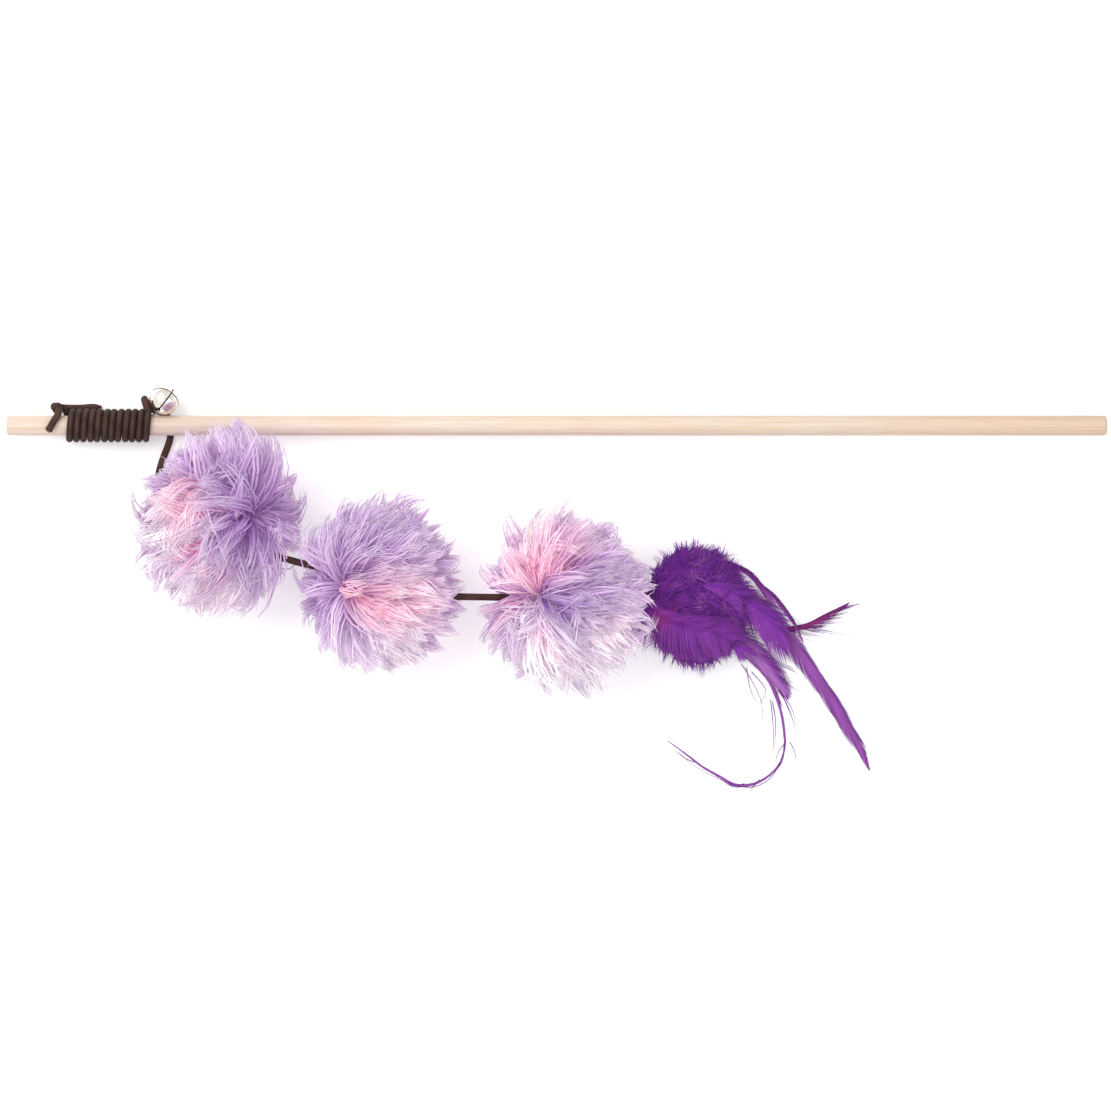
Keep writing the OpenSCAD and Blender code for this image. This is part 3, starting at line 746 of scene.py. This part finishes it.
def combed(looks, middle):
    """Axes that locks lean about, and how far, so that they lie away from the whorls."""
    total = np.zeros_like(middle)
    for x, y, weight in looks["whorls"]:
        whorl = seen_direction(x, y)
        apart = np.arccos(np.clip(middle @ whorl, -1, 1))
        pull = weight * np.exp(-((apart / WHORL_SPREAD) ** 2))[:, None]
        total = total + pull * unit(np.cross(whorl, middle))
    strength = np.minimum(np.linalg.norm(total, axis=1), 1)
    return unit(total), np.radians(COMBED_LEAN) * strength + np.radians(LEAN)


def pompom_hairs(k, looks, under):
    """Lines, radii and tints of one layer of a pompom's pile. The under layer is shorter."""
    middle = unit(even_directions(LOCKS) + 0.07 * normal(LOCKS, 3))
    axis, lean = combed(looks, middle)
    lean = lean * (1 + 0.28 * normal(LOCKS))
    stray = np.radians(STRAY) * looks["disorder"] * normal(LOCKS)
    axis = turn_about(axis, middle, stray)
    goal = turn_about(middle, axis, lean)
    reach = looks["reach"] * (LOCK_REACH + REACH_SPREAD * normal(LOCKS) - UNDER_LACK * under)
    for x, y, more in looks["spikes"]:
        reach = reach + more * np.exp(-((1 - goal @ seen_direction(x, y)) / 0.05))
    reach = reach * MM

    lock = np.repeat(np.arange(LOCKS), HAIRS_PER_LOCK)
    count = len(lock)
    root = unit(middle[lock] + 0.095 * normal(count, 3))
    loose = RNG.random(count) < LOOSE_SHARE
    spread = np.where(loose, 0.05, 0.017)[:, None]
    tip = unit(goal[lock] + spread * normal(count, 3))
    across = RNG.random(LOCKS) < CROSSING_SHARE * looks["disorder"]
    wild = turn_about(middle, unit(normal(LOCKS, 3)), np.full(LOCKS, 0.8))
    wild = unit(wild + 0.2 * goal)[lock] + 0.03 * normal(count, 3)
    tip = np.where(across[lock][:, None], unit(wild), tip)
    length = reach[lock] * (0.99 + 0.025 * normal(count))
    length = np.where(loose, length * RNG.uniform(0.76, 0.96, count), length)
    length = np.clip(length, *HAIR_LENGTHS)

    s = np.linspace(0, 1, HAIR_POINTS)[None]
    radius_out = ROOT_R + (length[:, None] - ROOT_R) * (1 - (1 - s) ** 1.5)
    between = np.arccos(np.clip(np.sum(root * tip, 1), -1, 1))
    turn_axis = unit(np.cross(root, tip))
    way = turn_about(root[:, None], turn_axis[:, None], between[:, None] * s**1.6)
    wave = WAVE * normal(LOCKS, 1)[lock] * np.sin(np.pi * s * 1.2)
    lines = POMPOMS[k] + way * radius_out[..., None] + wave[..., None] * turn_axis[:, None]

    thick = HAIR_R * (1 + 0.18 * normal(count, 1))
    radii = thick * (0.8 + 0.5 * np.sin(np.pi * np.minimum(s * 1.25, 1)) - 0.55 * s**3)
    tint = region_colours(looks, unit(root * 0.5 + tip * 0.6))
    lock_shade = (1 + LOCK_SHADES * normal(LOCKS, 1))[lock]
    shade = lock_shade * (1 + HAIR_SHADES * normal(count, 1))
    tint = (tint * np.clip(shade, *SHADE_BOUNDS) ** SHADE_HUE)[:, None]
    # Painted shade: roots, deep in the pile, are coloured darker in place of the shade between
    # hairs
    shaded_root = tint * PAINTED_ROOT_SHADE
    pale_end = tint * (1 - TIP_PALENESS) + PALE * TIP_PALENESS
    tints = shaded_root + (tint - shaded_root) * np.clip(s[..., None] * 1.9 - 0.15, 0, 1)
    tints = tints + (pale_end - tints) * np.clip((s[..., None] - 0.58) / 0.32, 0, 1)
    clear = part_for_cord(k, lines)
    lines[..., 2] = np.maximum(lines[..., 2], DOWN_TO + 0.4 * MM * RNG.random((count, 1)))
    return lines[clear], radii[clear], np.clip(tints, 0, 0.98)[clear]


# How far hair keeps from the cord, and between which distances from a pompom's middle. It opens
# at OPEN_FROM, where the cord comes in and where it goes out, over a length of OPENING
PARTING = 2.1 * MM
PARTED = (22 * MM, 48 * MM)
OPENING = 3.5 * MM
OPEN_FROM = [(31 * MM, 25 * MM), (27 * MM, 31 * MM), (23 * MM, 40 * MM)]


def part_for_cord(k, lines):
    """Parts the pile over the cord where it comes out, and says which hairs to keep."""
    clear = np.ones(len(lines), bool)
    for route, opened in zip(LEG_ROUTES[k : k + 2], OPEN_FROM[k]):
        points = smooth_route(route, 0.8 * MM)[:, :2]
        far = np.linalg.norm(points - POMPOMS[k][:2], axis=1)
        near = (far > PARTED[0]) & (far < PARTED[1])
        points, far = points[near], far[near]
        along = unit(np.gradient(points, axis=0))
        aside = leftwards(along)
        offset = lines[:, :, None, :2] - points
        sample = np.argmin(np.sum(offset**2, axis=-1), axis=-1)
        nearest = np.take_along_axis(offset, sample[..., None, None], axis=2)[:, :, 0]
        across = np.sum(nearest * aside[sample], axis=-1)
        beyond = np.sum(nearest * along[sample], axis=-1)
        room = PARTING * np.clip((far[sample] - opened) / OPENING, 0, 1)
        room = room * np.exp(-((beyond / (2 * MM)) ** 2))
        moved = np.where(across < 0, -1, 1) * np.sqrt(across**2 + room**2)
        lines[..., :2] += (moved - across)[..., None] * aside[sample]
        crossing = (across[:, 1:] * across[:, :-1] < 0) & (room[:, 1:] > 0.6 * MM)
        clear &= ~crossing.any(axis=1) | (RNG.random(len(lines)) < 0.1)
    return clear


KNIT_R = 13.5 * MM
KNIT_ROWS, KNIT_AROUND = 60, 96


def knit_ball(k):
    """Knitted backing round the wadding: a ball with rows of stitches."""
    stitches = KNIT_AROUND // 2
    u = (np.arange(KNIT_ROWS + 1) / KNIT_ROWS)[:, None]
    v = (np.arange(KNIT_AROUND) / KNIT_AROUND)[None]
    polar = np.pi * (0.02 + 0.96 * u)
    stitch = np.abs(np.sin(np.pi * (u * KNIT_ROWS / 2 + 0.5 * np.floor(v * stitches))))
    stitch = stitch * np.abs(np.sin(np.pi * v * stitches))
    radius = KNIT_R + 0.3 * MM * stitch + 0.25 * MM * np.sin(6 * np.pi * v + 4 * u)
    flat = radius * np.sin(polar)
    ball = np.stack([
        flat * np.cos(2 * np.pi * v), flat * np.sin(2 * np.pi * v),
        radius * np.cos(polar) * np.ones_like(v),
    ], axis=-1)
    pole = aim(*EXITS[k])
    side = unit(np.cross(pole, [0, 0, 1.0]))
    basis = np.stack([side, np.cross(pole, side), pole])
    end = (KNIT_R - 0.1 * MM) * pole
    points = [(ball.reshape(-1, 3) @ basis) + POMPOMS[k], [POMPOMS[k] + end, POMPOMS[k] - end]]
    return mesh_object(
        f"pompom_{k + 1}_knit", np.concatenate(points),
        *tube_faces(KNIT_ROWS + 1, KNIT_AROUND, inside_out=True),
    )


def add_pompoms():
    for k, looks in enumerate(POMPOM_LOOKS):
        pompom, body = f"pompom_{k + 1}", f"string_{k + 1}"
        for layer in ("inner", "outer"):
            hairs = pompom_hairs(k, looks, layer == "inner")
            pile = strand_mesh(f"{pompom}_pile_{layer}", *hairs)
            take_place(pile, [f"{pompom}_fur"], body, PILE)
        covered = [f"{pompom}_backing", f"{pompom}_stuffing"]
        take_place(knit_ball(k), covered, body, BACKING)


add_pompoms()


# Tuft: long feathers in layers, as the model lays them, and fluffy down over and under them

TUFT = knot_at(2)
QUILL_R = 0.5 * MM
LAYERS = 5
LAYER_PITCH = 1.05 * MM
# How far from the knot the quills lie flat on the table
LANDING = 64 * MM
DROOP = 1.2
PLUM = srgb(138, 54, 170)
VIOLET = srgb(118, 44, 158)
ORCHID = srgb(174, 98, 188)
MAGENTA = srgb(178, 58, 140)
DUSK = srgb(104, 34, 116)
DUSTY = srgb(178, 116, 192)
SOFT = srgb(148, 70, 172)

# Fluffy body of the tuft in the photograph, and the reddish spot at its root
BODY_MIDDLE = np.array(from_photo(694, 606))
BODY_HALF = np.array([49, 56]) * PIXEL
BODY_RISE = 8.4 * MM
BODY_GAP = 0.3 * MM
SPOT = np.array(from_photo(659, 619))
SPOT_R = 4 * MM
BARB_POINTS = 6
BARB_TAPER = np.linspace(0, 1, BARB_POINTS)
QUILL_POINTS = 40
QUILL_TAPER = 1 - 0.85 * np.linspace(0, 1, QUILL_POINTS) ** 1.2


def layer_z(x, layer):
    """Height of a layer of quills at a distance in x from the knot, as in the model."""
    middle = QUILL_R + (LAYERS - 1) / 2 * LAYER_PITCH
    fall = np.clip(1 - np.maximum(x, 0) / LANDING, 0, 1) ** DROOP
    return QUILL_R + layer * LAYER_PITCH + (TUFT[2] - middle) * fall


def body_share(points):
    """Height of the fluffy body at points, as a share of its middle's."""
    off = (points[..., :2] - BODY_MIDDLE[:2]) / BODY_HALF
    return np.sqrt(np.clip(1 - np.sum(off**2, axis=-1), 0, 1))


def spotted(tint, points):
    """Tints with the reddish spot."""
    off = (points[..., :2] - SPOT[:2]) / SPOT_R
    near = 0.6 * np.exp(-np.sum(off**2, axis=-1))[..., None]
    return tint + (MAGENTA - tint) * near


def over_body(points):
    """Height of the fluffy body's upper face at points."""
    base = layer_z(points[..., 0] - TUFT[0], LAYERS - 1) + QUILL_R + BODY_GAP
    return base + BODY_RISE * body_share(points)


def points_at(lengths, run, line):
    """Points of a line at lengths along it."""
    return np.stack([np.interp(lengths, run, line[:, i]) for i in range(3)], axis=1)


def even_line(pixels, count):
    """A line on the table through pixels of the photograph, in even steps, and its lengths."""
    line = smooth_route([from_photo(*p) for p in pixels], 0.5 * MM)
    run = distances(line)
    even = np.linspace(0, run[-1], count)
    return points_at(even, run, line), even


def quill_line(pixels, layer):
    """A quill's line through pixels of the photograph, lying in a layer of the tuft."""
    line, run = even_line(pixels, 240)
    line[:, 2] = layer_z(np.maximum.accumulate(line[:, 0] - TUFT[0]), layer)
    return line, run


def leaf(full, root, sharp=0.8):
    """Width of a vane that swells from its root to a full width and narrows to its tip."""
    def width(t):
        swell = np.clip((t - root) / (1 - root), 0, 1) ** sharp
        return full * MM * np.maximum(np.sin(np.pi * swell), 0.03)
    return width


def value_at(t, stops, scale=1):
    """Values at shares of a quill, from a function or from stops of (share, value)."""
    if callable(stops):
        return stops(t)
    places, values = np.array(stops, float).T
    return np.interp(t, places, values * scale)


def barbs(line, run, side, angle, width, spacing=0.26, start=0.2, end=0.99, splits=0.05,
          ragged=0.1):
    """Barbs along one side of a quill, each a line from the quill outwards.

    width and angle, at a share of the quill, are how far the vane stands out and how much its
    barbs lean from the quill in degrees. splits is how often the vane parts into locks, which
    differ in lean and reach by ragged.
    """
    steps = int((end - start) * run[-1] / (spacing * MM))
    t = start + (end - start) * (np.arange(steps) + 0.5) / steps
    at = t * run[-1]
    ahead, behind, root = (points_at(at + x, run, line) for x in (0.5 * MM, -0.5 * MM, 0))
    way = unit(ahead - behind)
    flat = unit(np.stack([-way[:, 1], way[:, 0], np.zeros(steps)], axis=1)) * side
    lock = np.cumsum(RNG.random(steps) < splits)
    lock_lean, lock_reach = normal(2, lock[-1] + 1)
    lean = value_at(t, angle) * (1 + 0.6 * ragged * lock_lean[lock]) + normal(steps)
    lean = np.radians(np.clip(lean, 4, 100))[:, None]
    reach = value_at(t, width, MM) * (1 + ragged * lock_reach[lock])
    reach = reach * (1 + 0.05 * normal(steps))
    length = np.abs(reach)[:, None] / np.maximum(np.sin(lean), 0.2)
    s = BARB_TAPER[None]
    bend = lean * (1 - 0.35 * s)
    step = length / (BARB_POINTS - 1)
    along, out = (
        np.concatenate([np.zeros((steps, 1)), np.cumsum(part(bend[:, 1:]) * step, 1)], 1)
        for part in (np.cos, np.sin)
    )
    lines = root[:, None] + along[..., None] * way[:, None] + out[..., None] * flat[:, None]
    lift = 0.12 * MM * normal(steps, 1) * s**2
    lines[..., 2] += np.clip(lift, -0.2 * MM, 0.3 * MM)
    return lines, t


def shaded(t, root_level, tip_level):
    """Tints along barbs, from a level at the quill to one at the edge, with streaks."""
    streak = 1 + 0.1 * normal(len(t), 1, 1)
    slow = 1 + 0.1 * np.sin(40 * t + 3 * RNG.random())[:, None, None]
    level = root_level + (tip_level - root_level) * BARB_TAPER[None, :, None]
    return np.clip(level * streak * slow, 0.002, 0.95)


def vane(side, angle, width, root_level, tip_level, thick=0.17, **more):
    """One vane for feather, with what barbs is told, its barbs' radius and its colours."""
    told = dict(side=side, angle=angle, width=width, **more)
    return told, thick * MM, (root_level, tip_level)


def feather(name, layer, pixels, vanes, quill=0.34, node=None, slot="hackle", raised=0.0):
    """A feather: a quill through pixels of the photograph and vanes. Sizes are in mm.

    raised is how far it lies above the fluffy body where it crosses that, or 0 for beneath it.
    """
    line, run = quill_line(pixels, layer)
    if raised:
        line[:, 2] = np.maximum(line[:, 2], over_body(line) + raised * MM)
    parts = []
    for told, thick, levels in vanes:
        lines, t = barbs(line, run, **told)
        if raised:
            lines[..., 2] = np.maximum(lines[..., 2], over_body(lines) + raised * MM)
        radii = np.tile(thick * (1 - 0.8 * BARB_TAPER**1.5), (len(lines), 1))
        tints = shaded(t, *levels)
        parts.append((lines, radii, spotted(tints, lines) if raised else tints))
    blade = strand_mesh(f"{name}_vane", *(np.concatenate(each) for each in zip(*parts)))
    picked = line[np.linspace(0, len(line) - 1, QUILL_POINTS).astype(int)]
    tint = np.tile(vanes[0][2][0] * 0.8, (1, QUILL_POINTS, 1))
    taper = quill * MM * QUILL_TAPER
    stem = strand_mesh(f"{name}_quill", picked[None], taper[None], tint)
    for piece in (blade, stem):
        take_place(piece, [node or name], "tuft", VANE)


CURL_WIDTH = [
    (0.25, 1.4), (0.45, 1.4), (0.52, 1.1), (0.6, 0.7), (0.68, 0.7), (0.78, 1.1), (0.88, 0.7),
    (1, 0.15),
]


def add_hackles():
    """The long feathers. Angles and widths are stops along the quill, in degrees and mm."""
    feather("hackle_a", 4, [
        (640, 586), (690, 564), (720, 562), (744, 570), (760, 584), (774, 596), (786, 610),
        (796, 625), (804, 643),
    ], [
        vane(1, [(0, 13)], leaf(1.2, 0.25, 0.7), DUSK, DUSK, start=0.25, splits=0.01,
             ragged=0.05),
        vane(-1, [(0, 17)], [(0.25, 2), (0.5, 4.2), (0.7, 2.6), (0.85, 1.4), (1, 0.2)],
             DUSK, ORCHID, start=0.25, splits=0.1, ragged=0.3),
    ])
    feather("hackle_b", 1.6, [
        (640, 592), (680, 600), (740, 627), (770, 630), (790, 628), (808, 624), (830, 613),
        (851, 602),
    ], [
        vane(1, [(0, 12)], leaf(0.9, 0.55), DUSK, DUSK, start=0.55, end=1.0, splits=0.02),
        vane(-1, [(0, 12)], leaf(2.3, 0.55), MAGENTA * 0.6, DUSK, start=0.55, end=1.0,
             splits=0.03),
        vane(-1, [(0.6, 34), (1, 18)], leaf(7.0, 0.55, 0.75), DUSK, VIOLET, thick=0.14,
             spacing=0.7, start=0.6, end=0.96, splits=0.6, ragged=0.25),
    ])
    feather("hackle_c", 2, [
        (640, 592), (690, 582), (725, 586), (750, 598), (768, 613), (783, 629), (797, 647),
        (813, 670), (828, 692), (841, 714), (852, 732), (861, 750), (870, 770),
    ], [
        vane(1, [(0, 18), (1, 9)], [
            (0.15, 3), (0.35, 4), (0.42, 3.2), (0.56, 2.6), (0.73, 2.8), (0.87, 2.1), (1, 0.2),
        ], ORCHID * 0.8, PLUM * 0.8, start=0.15, end=1.0, splits=0.006, ragged=0.05),
        vane(-1, [
            (0, 30), (0.3, 52), (0.4, 50), (0.46, 38), (0.53, 28), (0.61, 18), (1, 9),
        ], [
            (0.15, 3), (0.3, 12), (0.38, 13), (0.46, 9.2), (0.53, 6.3), (0.61, 5), (0.7, 4.2),
            (0.81, 3.2), (0.93, 1.4), (1, 0.2),
        ], ORCHID * 0.8, SOFT, start=0.15, ragged=0.14),
    ])
    feather("hackle_d", 1, [
        (640, 596), (692, 609), (716, 621), (740, 640), (757, 656), (771, 672), (781, 686),
        (787, 698),
    ], [
        vane(1, [(0, 24), (1, 12)], [(0.2, 3), (0.45, 6.0), (0.7, 4.2), (0.88, 2.2), (1, 0.2)],
             DUSTY, PLUM, end=1.0, splits=0, ragged=0.03),
        vane(-1, [(0, 26), (1, 12)], [(0.2, 4), (0.5, 5.6), (0.7, 4.2), (0.88, 2.0), (1, 0.2)],
             DUSTY, DUSTY, splits=0, ragged=0.03),
        vane(1, [(0, 34), (1, 26)], [(0.5, 6), (0.7, 7.5), (0.88, 5)], PLUM, DUSK, thick=0.15,
             spacing=0.6, start=0.5, end=0.88, splits=0.6, ragged=0.15),
    ])
    feather("hackle_curl", 0, [
        (640, 596), (700, 625), (740, 652), (762, 672), (774, 692), (782, 716), (785, 740),
        (783, 757), (777, 768), (766, 778), (753, 784), (738, 785), (722, 778), (706, 769),
        (692, 759), (680, 750), (669, 742),
    ], [
        vane(side, [(0, 7)], CURL_WIDTH, ORCHID, PLUM * 0.9, spacing=0.3, start=0.25, end=1.0,
             ragged=ragged)
        for side, ragged in ((1, 0.15), (-1, 0.25))
    ], quill=0.42)


# Single barbs that stand away from the feathers, through pixels of the photograph
LOOSE_BARBS = [
    [(786, 745), (779, 766), (768, 781), (750, 788), (728, 783), (708, 774), (690, 763),
     (677, 750)],
    [(742, 664), (754, 684), (762, 703), (763, 724)],
    [(752, 672), (766, 690), (760, 705)],
    [(747, 668), (751, 690), (759, 706)],
    [(771, 700), (773, 718), (774, 738), (774, 756)],
    [(773, 702), (776, 722), (775, 748)],
    [(780, 690), (790, 712), (799, 737)],
    [(778, 690), (787, 704), (794, 722)],
    [(782, 694), (792, 708), (797, 726)],
    [(790, 742), (795, 752), (797, 764)],
    [(785, 744), (779, 752), (775, 764)],
    [(760, 780), (753, 788), (749, 794)],
    [(745, 784), (732, 787), (730, 784)],
    [(700, 764), (686, 759), (673, 749)],
]


def add_loose_barbs():
    count = 24
    lines = []
    for pixels in LOOSE_BARBS:
        line = even_line(pixels, count)[0]
        line[:, 2] = 0.6 * MM + 0.5 * MM * RNG.random()
        lines.append(line)
    taper = 0.21 * MM * (1 - 0.7 * np.linspace(0, 1, count) ** 2)
    tint = np.tile(PLUM * 0.8, (len(lines), count, 1))
    loose = strand_mesh("loose_barbs", np.array(lines), np.tile(taper, (len(lines), 1)), tint)
    take_place(loose, ["hackle_curl"], "tuft", VANE)


add_hackles()
add_loose_barbs()

DOWN_HAIRS = 7000
DOWN_PER_LOCK = 7
DOWN_R = 0.19 * MM
# Colours of the down's locks, and how common each is
DOWN_TONES = np.stack([PLUM, VIOLET, ORCHID * 0.85, VIOLET * 0.8])
DOWN_SHARES = [0.45, 0.25, 0.15, 0.15]


def down_hairs(up):
    """Locks of a plume's fluff over the quills, or under them, swept outwards."""
    locks = DOWN_HAIRS // DOWN_PER_LOCK
    ring, turn = np.sqrt(RNG.random(locks)) * 0.95, 2 * np.pi * RNG.random(locks)
    off = np.stack([ring * np.cos(turn), ring * np.sin(turn)], axis=1)
    start = BODY_MIDDLE[:2] + off * BODY_HALF
    start[:, 0] = np.maximum(start[:, 0], TUFT[0] + 9 * MM)
    sweep = unit(np.array([1.0, 0.05]) + 0.9 * off)
    sweep = unit(sweep + 0.42 * normal(locks, 2))
    bent = 0.5 * normal(locks)
    depth = RNG.uniform(0.4, 1.0, locks) ** 0.6
    reach = RNG.uniform(5, 9.5, locks) * MM * (1 - 0.35 * ring**2)

    lock = np.repeat(np.arange(locks), DOWN_PER_LOCK)
    count = len(lock)
    s = BARB_TAPER[None]
    way = unit(sweep[lock] + 0.16 * normal(count, 2))
    length = (reach[lock] * RNG.uniform(0.75, 1.1, count))[:, None, None]
    flat = (
        (start[lock] + 0.7 * MM * normal(count, 2))[:, None]
        + length * s[..., None] * way[:, None]
        + length * (s**2)[..., None] * (bent[lock, None] * leftwards(way))[:, None]
    )
    base = layer_z(flat[..., 0] - TUFT[0], LAYERS - 1 if up > 0 else 0)
    lift = (0.3 + 1.1 * s) * MM * RNG.random((count, 1))
    rise = BODY_RISE * body_share(flat) * depth[lock, None] + lift
    z = base + up * (QUILL_R + BODY_GAP + rise)
    z = np.maximum(z, DOWN_TO + 0.5 * MM * RNG.random((count, 1)))
    lines = np.concatenate([flat, z[..., None]], axis=-1)
    radii = DOWN_R * (1 - 0.8 * s**1.5) * (1 + 0.2 * normal(count, 1))

    tone = spotted(DOWN_TONES[RNG.choice(4, locks, p=DOWN_SHARES)], start)
    tint = tone[lock][:, None] * (1 + 0.1 * normal(count, 1, 1))
    # Painted shade: the down is coloured darker towards its roots, deep in the fluff, and lighter
    # towards its tips
    tint = tint * (0.6 + 0.55 * s[..., None] ** 0.7)
    return lines, radii, np.clip(tint, 0.002, 0.95)


def add_body():
    """The tuft's fluffy body, with the broad soft feathers that lie over it."""
    for node, up in (("plume_upper", 1), ("plume_lower", -1)):
        fluff = strand_mesh(f"{node}_down", *down_hairs(up))
        take_place(fluff, [node], "tuft", DOWN)
    soft = {"spacing": 0.2, "thick": 0.2}
    over = {"node": "plume_upper", "slot": "plume"}
    feather("broad_feather", 4, [
        (642, 602), (661, 616), (690, 627), (714, 632), (732, 642), (744, 652),
    ], [
        vane(-1, [(0, 98), (0.6, 64), (1, 36)],
             [(0, 13), (0.25, 16.5), (0.55, 14), (0.85, 7), (1, 2.5)],
             PLUM * 0.9, SOFT, start=0.0, ragged=0.06, **soft),
        vane(1, [(0, 60), (0.3, 42), (1, 20)], [(0, 4), (0.2, 8), (0.5, 10), (0.8, 7), (1, 1)],
             PLUM * 0.9, PLUM * 0.9, start=0.0, splits=0.04, ragged=0.12, **soft),
    ], raised=0.4, **over)
    feather("saddle_feather", 4, [
        (668, 592), (700, 585), (730, 592), (755, 606), (772, 622), (787, 639),
    ], [
        vane(1, [(0, 40), (0.6, 20), (1, 10)],
             [(0.25, 2), (0.4, 7), (0.55, 5), (0.7, 3), (1, 0.3)],
             VIOLET, PLUM * 0.85, start=0.25, splits=0.2, ragged=0.2, **soft),
        vane(-1, [(0, 46), (0.75, 42), (0.9, 32), (1, 14)], [
            (0.25, 2), (0.4, 9), (0.55, 13), (0.7, 14), (0.82, 11), (0.9, 6.5), (1, 0.3),
        ], PLUM, SOFT, start=0.25, splits=0.06, ragged=0.09, **soft),
    ], raised=0.5, **over)


add_body()


# Floor, lights and world. Floor and sky look brighter than the light that they give the toy

FLOOR_SIDE = 12
FLOOR_WHITE = (0.86, 0.86, 0.86, 1)
FLOOR_GLOW = 0.32
SKY_SEEN, SKY_LIGHT = 1.0, 0.76
LIGHT_SIZE = 1.6


def by_rays(tree, light, seen):
    """One shader for lighting and another for what the camera sees, also in mirrors."""
    path = add_node(tree, "LightPath").outputs
    share = path["Is Camera Ray"]
    for ray in ("Is Glossy Ray", "Is Transmission Ray"):
        share = add_node(tree, "Math", {0: share, 1: path[ray]}, operation="MAXIMUM").outputs[0]
    return add_node(tree, "MixShader", {0: share, 1: light, 2: seen}).outputs[0]


def add_stage():
    bpy.ops.mesh.primitive_plane_add(size=FLOOR_SIDE, location=(0, 0, 0))
    floor = bpy.context.object
    floor.name = "floor"
    material, tree, shader = new_material("floor_white", {
        "Base Color": FLOOR_WHITE, "Roughness": 0.9, "Specular IOR Level": 0.0,
    })
    plain = shader.outputs[0]
    glow = add_node(tree, "Emission", {"Color": colour(*WHITE), "Strength": FLOOR_GLOW})
    both = add_node(tree, "AddShader", {0: plain, 1: glow.outputs[0]})
    surface = by_rays(tree, plain, both.outputs[0])
    feed(tree.nodes["Material Output"], {"Surface": surface})
    dress(floor, material)


def add_light(name, place, power):
    data = bpy.data.lights.new(name, "AREA")
    data.shape = "DISK"
    data.size = LIGHT_SIZE
    data.energy = power
    light = add_object(name, data)
    light.location = place
    light.rotation_mode = "QUATERNION"
    light.rotation_quaternion = (-light.location).to_track_quat("-Z", "Y")


def add_world():
    world = bpy.data.worlds.new("studio")
    bpy.context.scene.world = world
    world.use_nodes = True
    tree = world.node_tree
    tree.nodes.clear()
    shaders = (
        add_node(tree, "Background", {"Color": colour(*WHITE), "Strength": strength}).outputs[0]
        for strength in (SKY_LIGHT, SKY_SEEN)
    )
    add_node(tree, "OutputWorld", {"Surface": by_rays(tree, *shaders)})


add_stage()
add_light("key", (-0.9, 0.7, 1.6), 21)
add_light("fill", (1.0, -0.8, 1.5), 8)
add_world()
bpy.context.scene.view_settings.view_transform = "Standard"
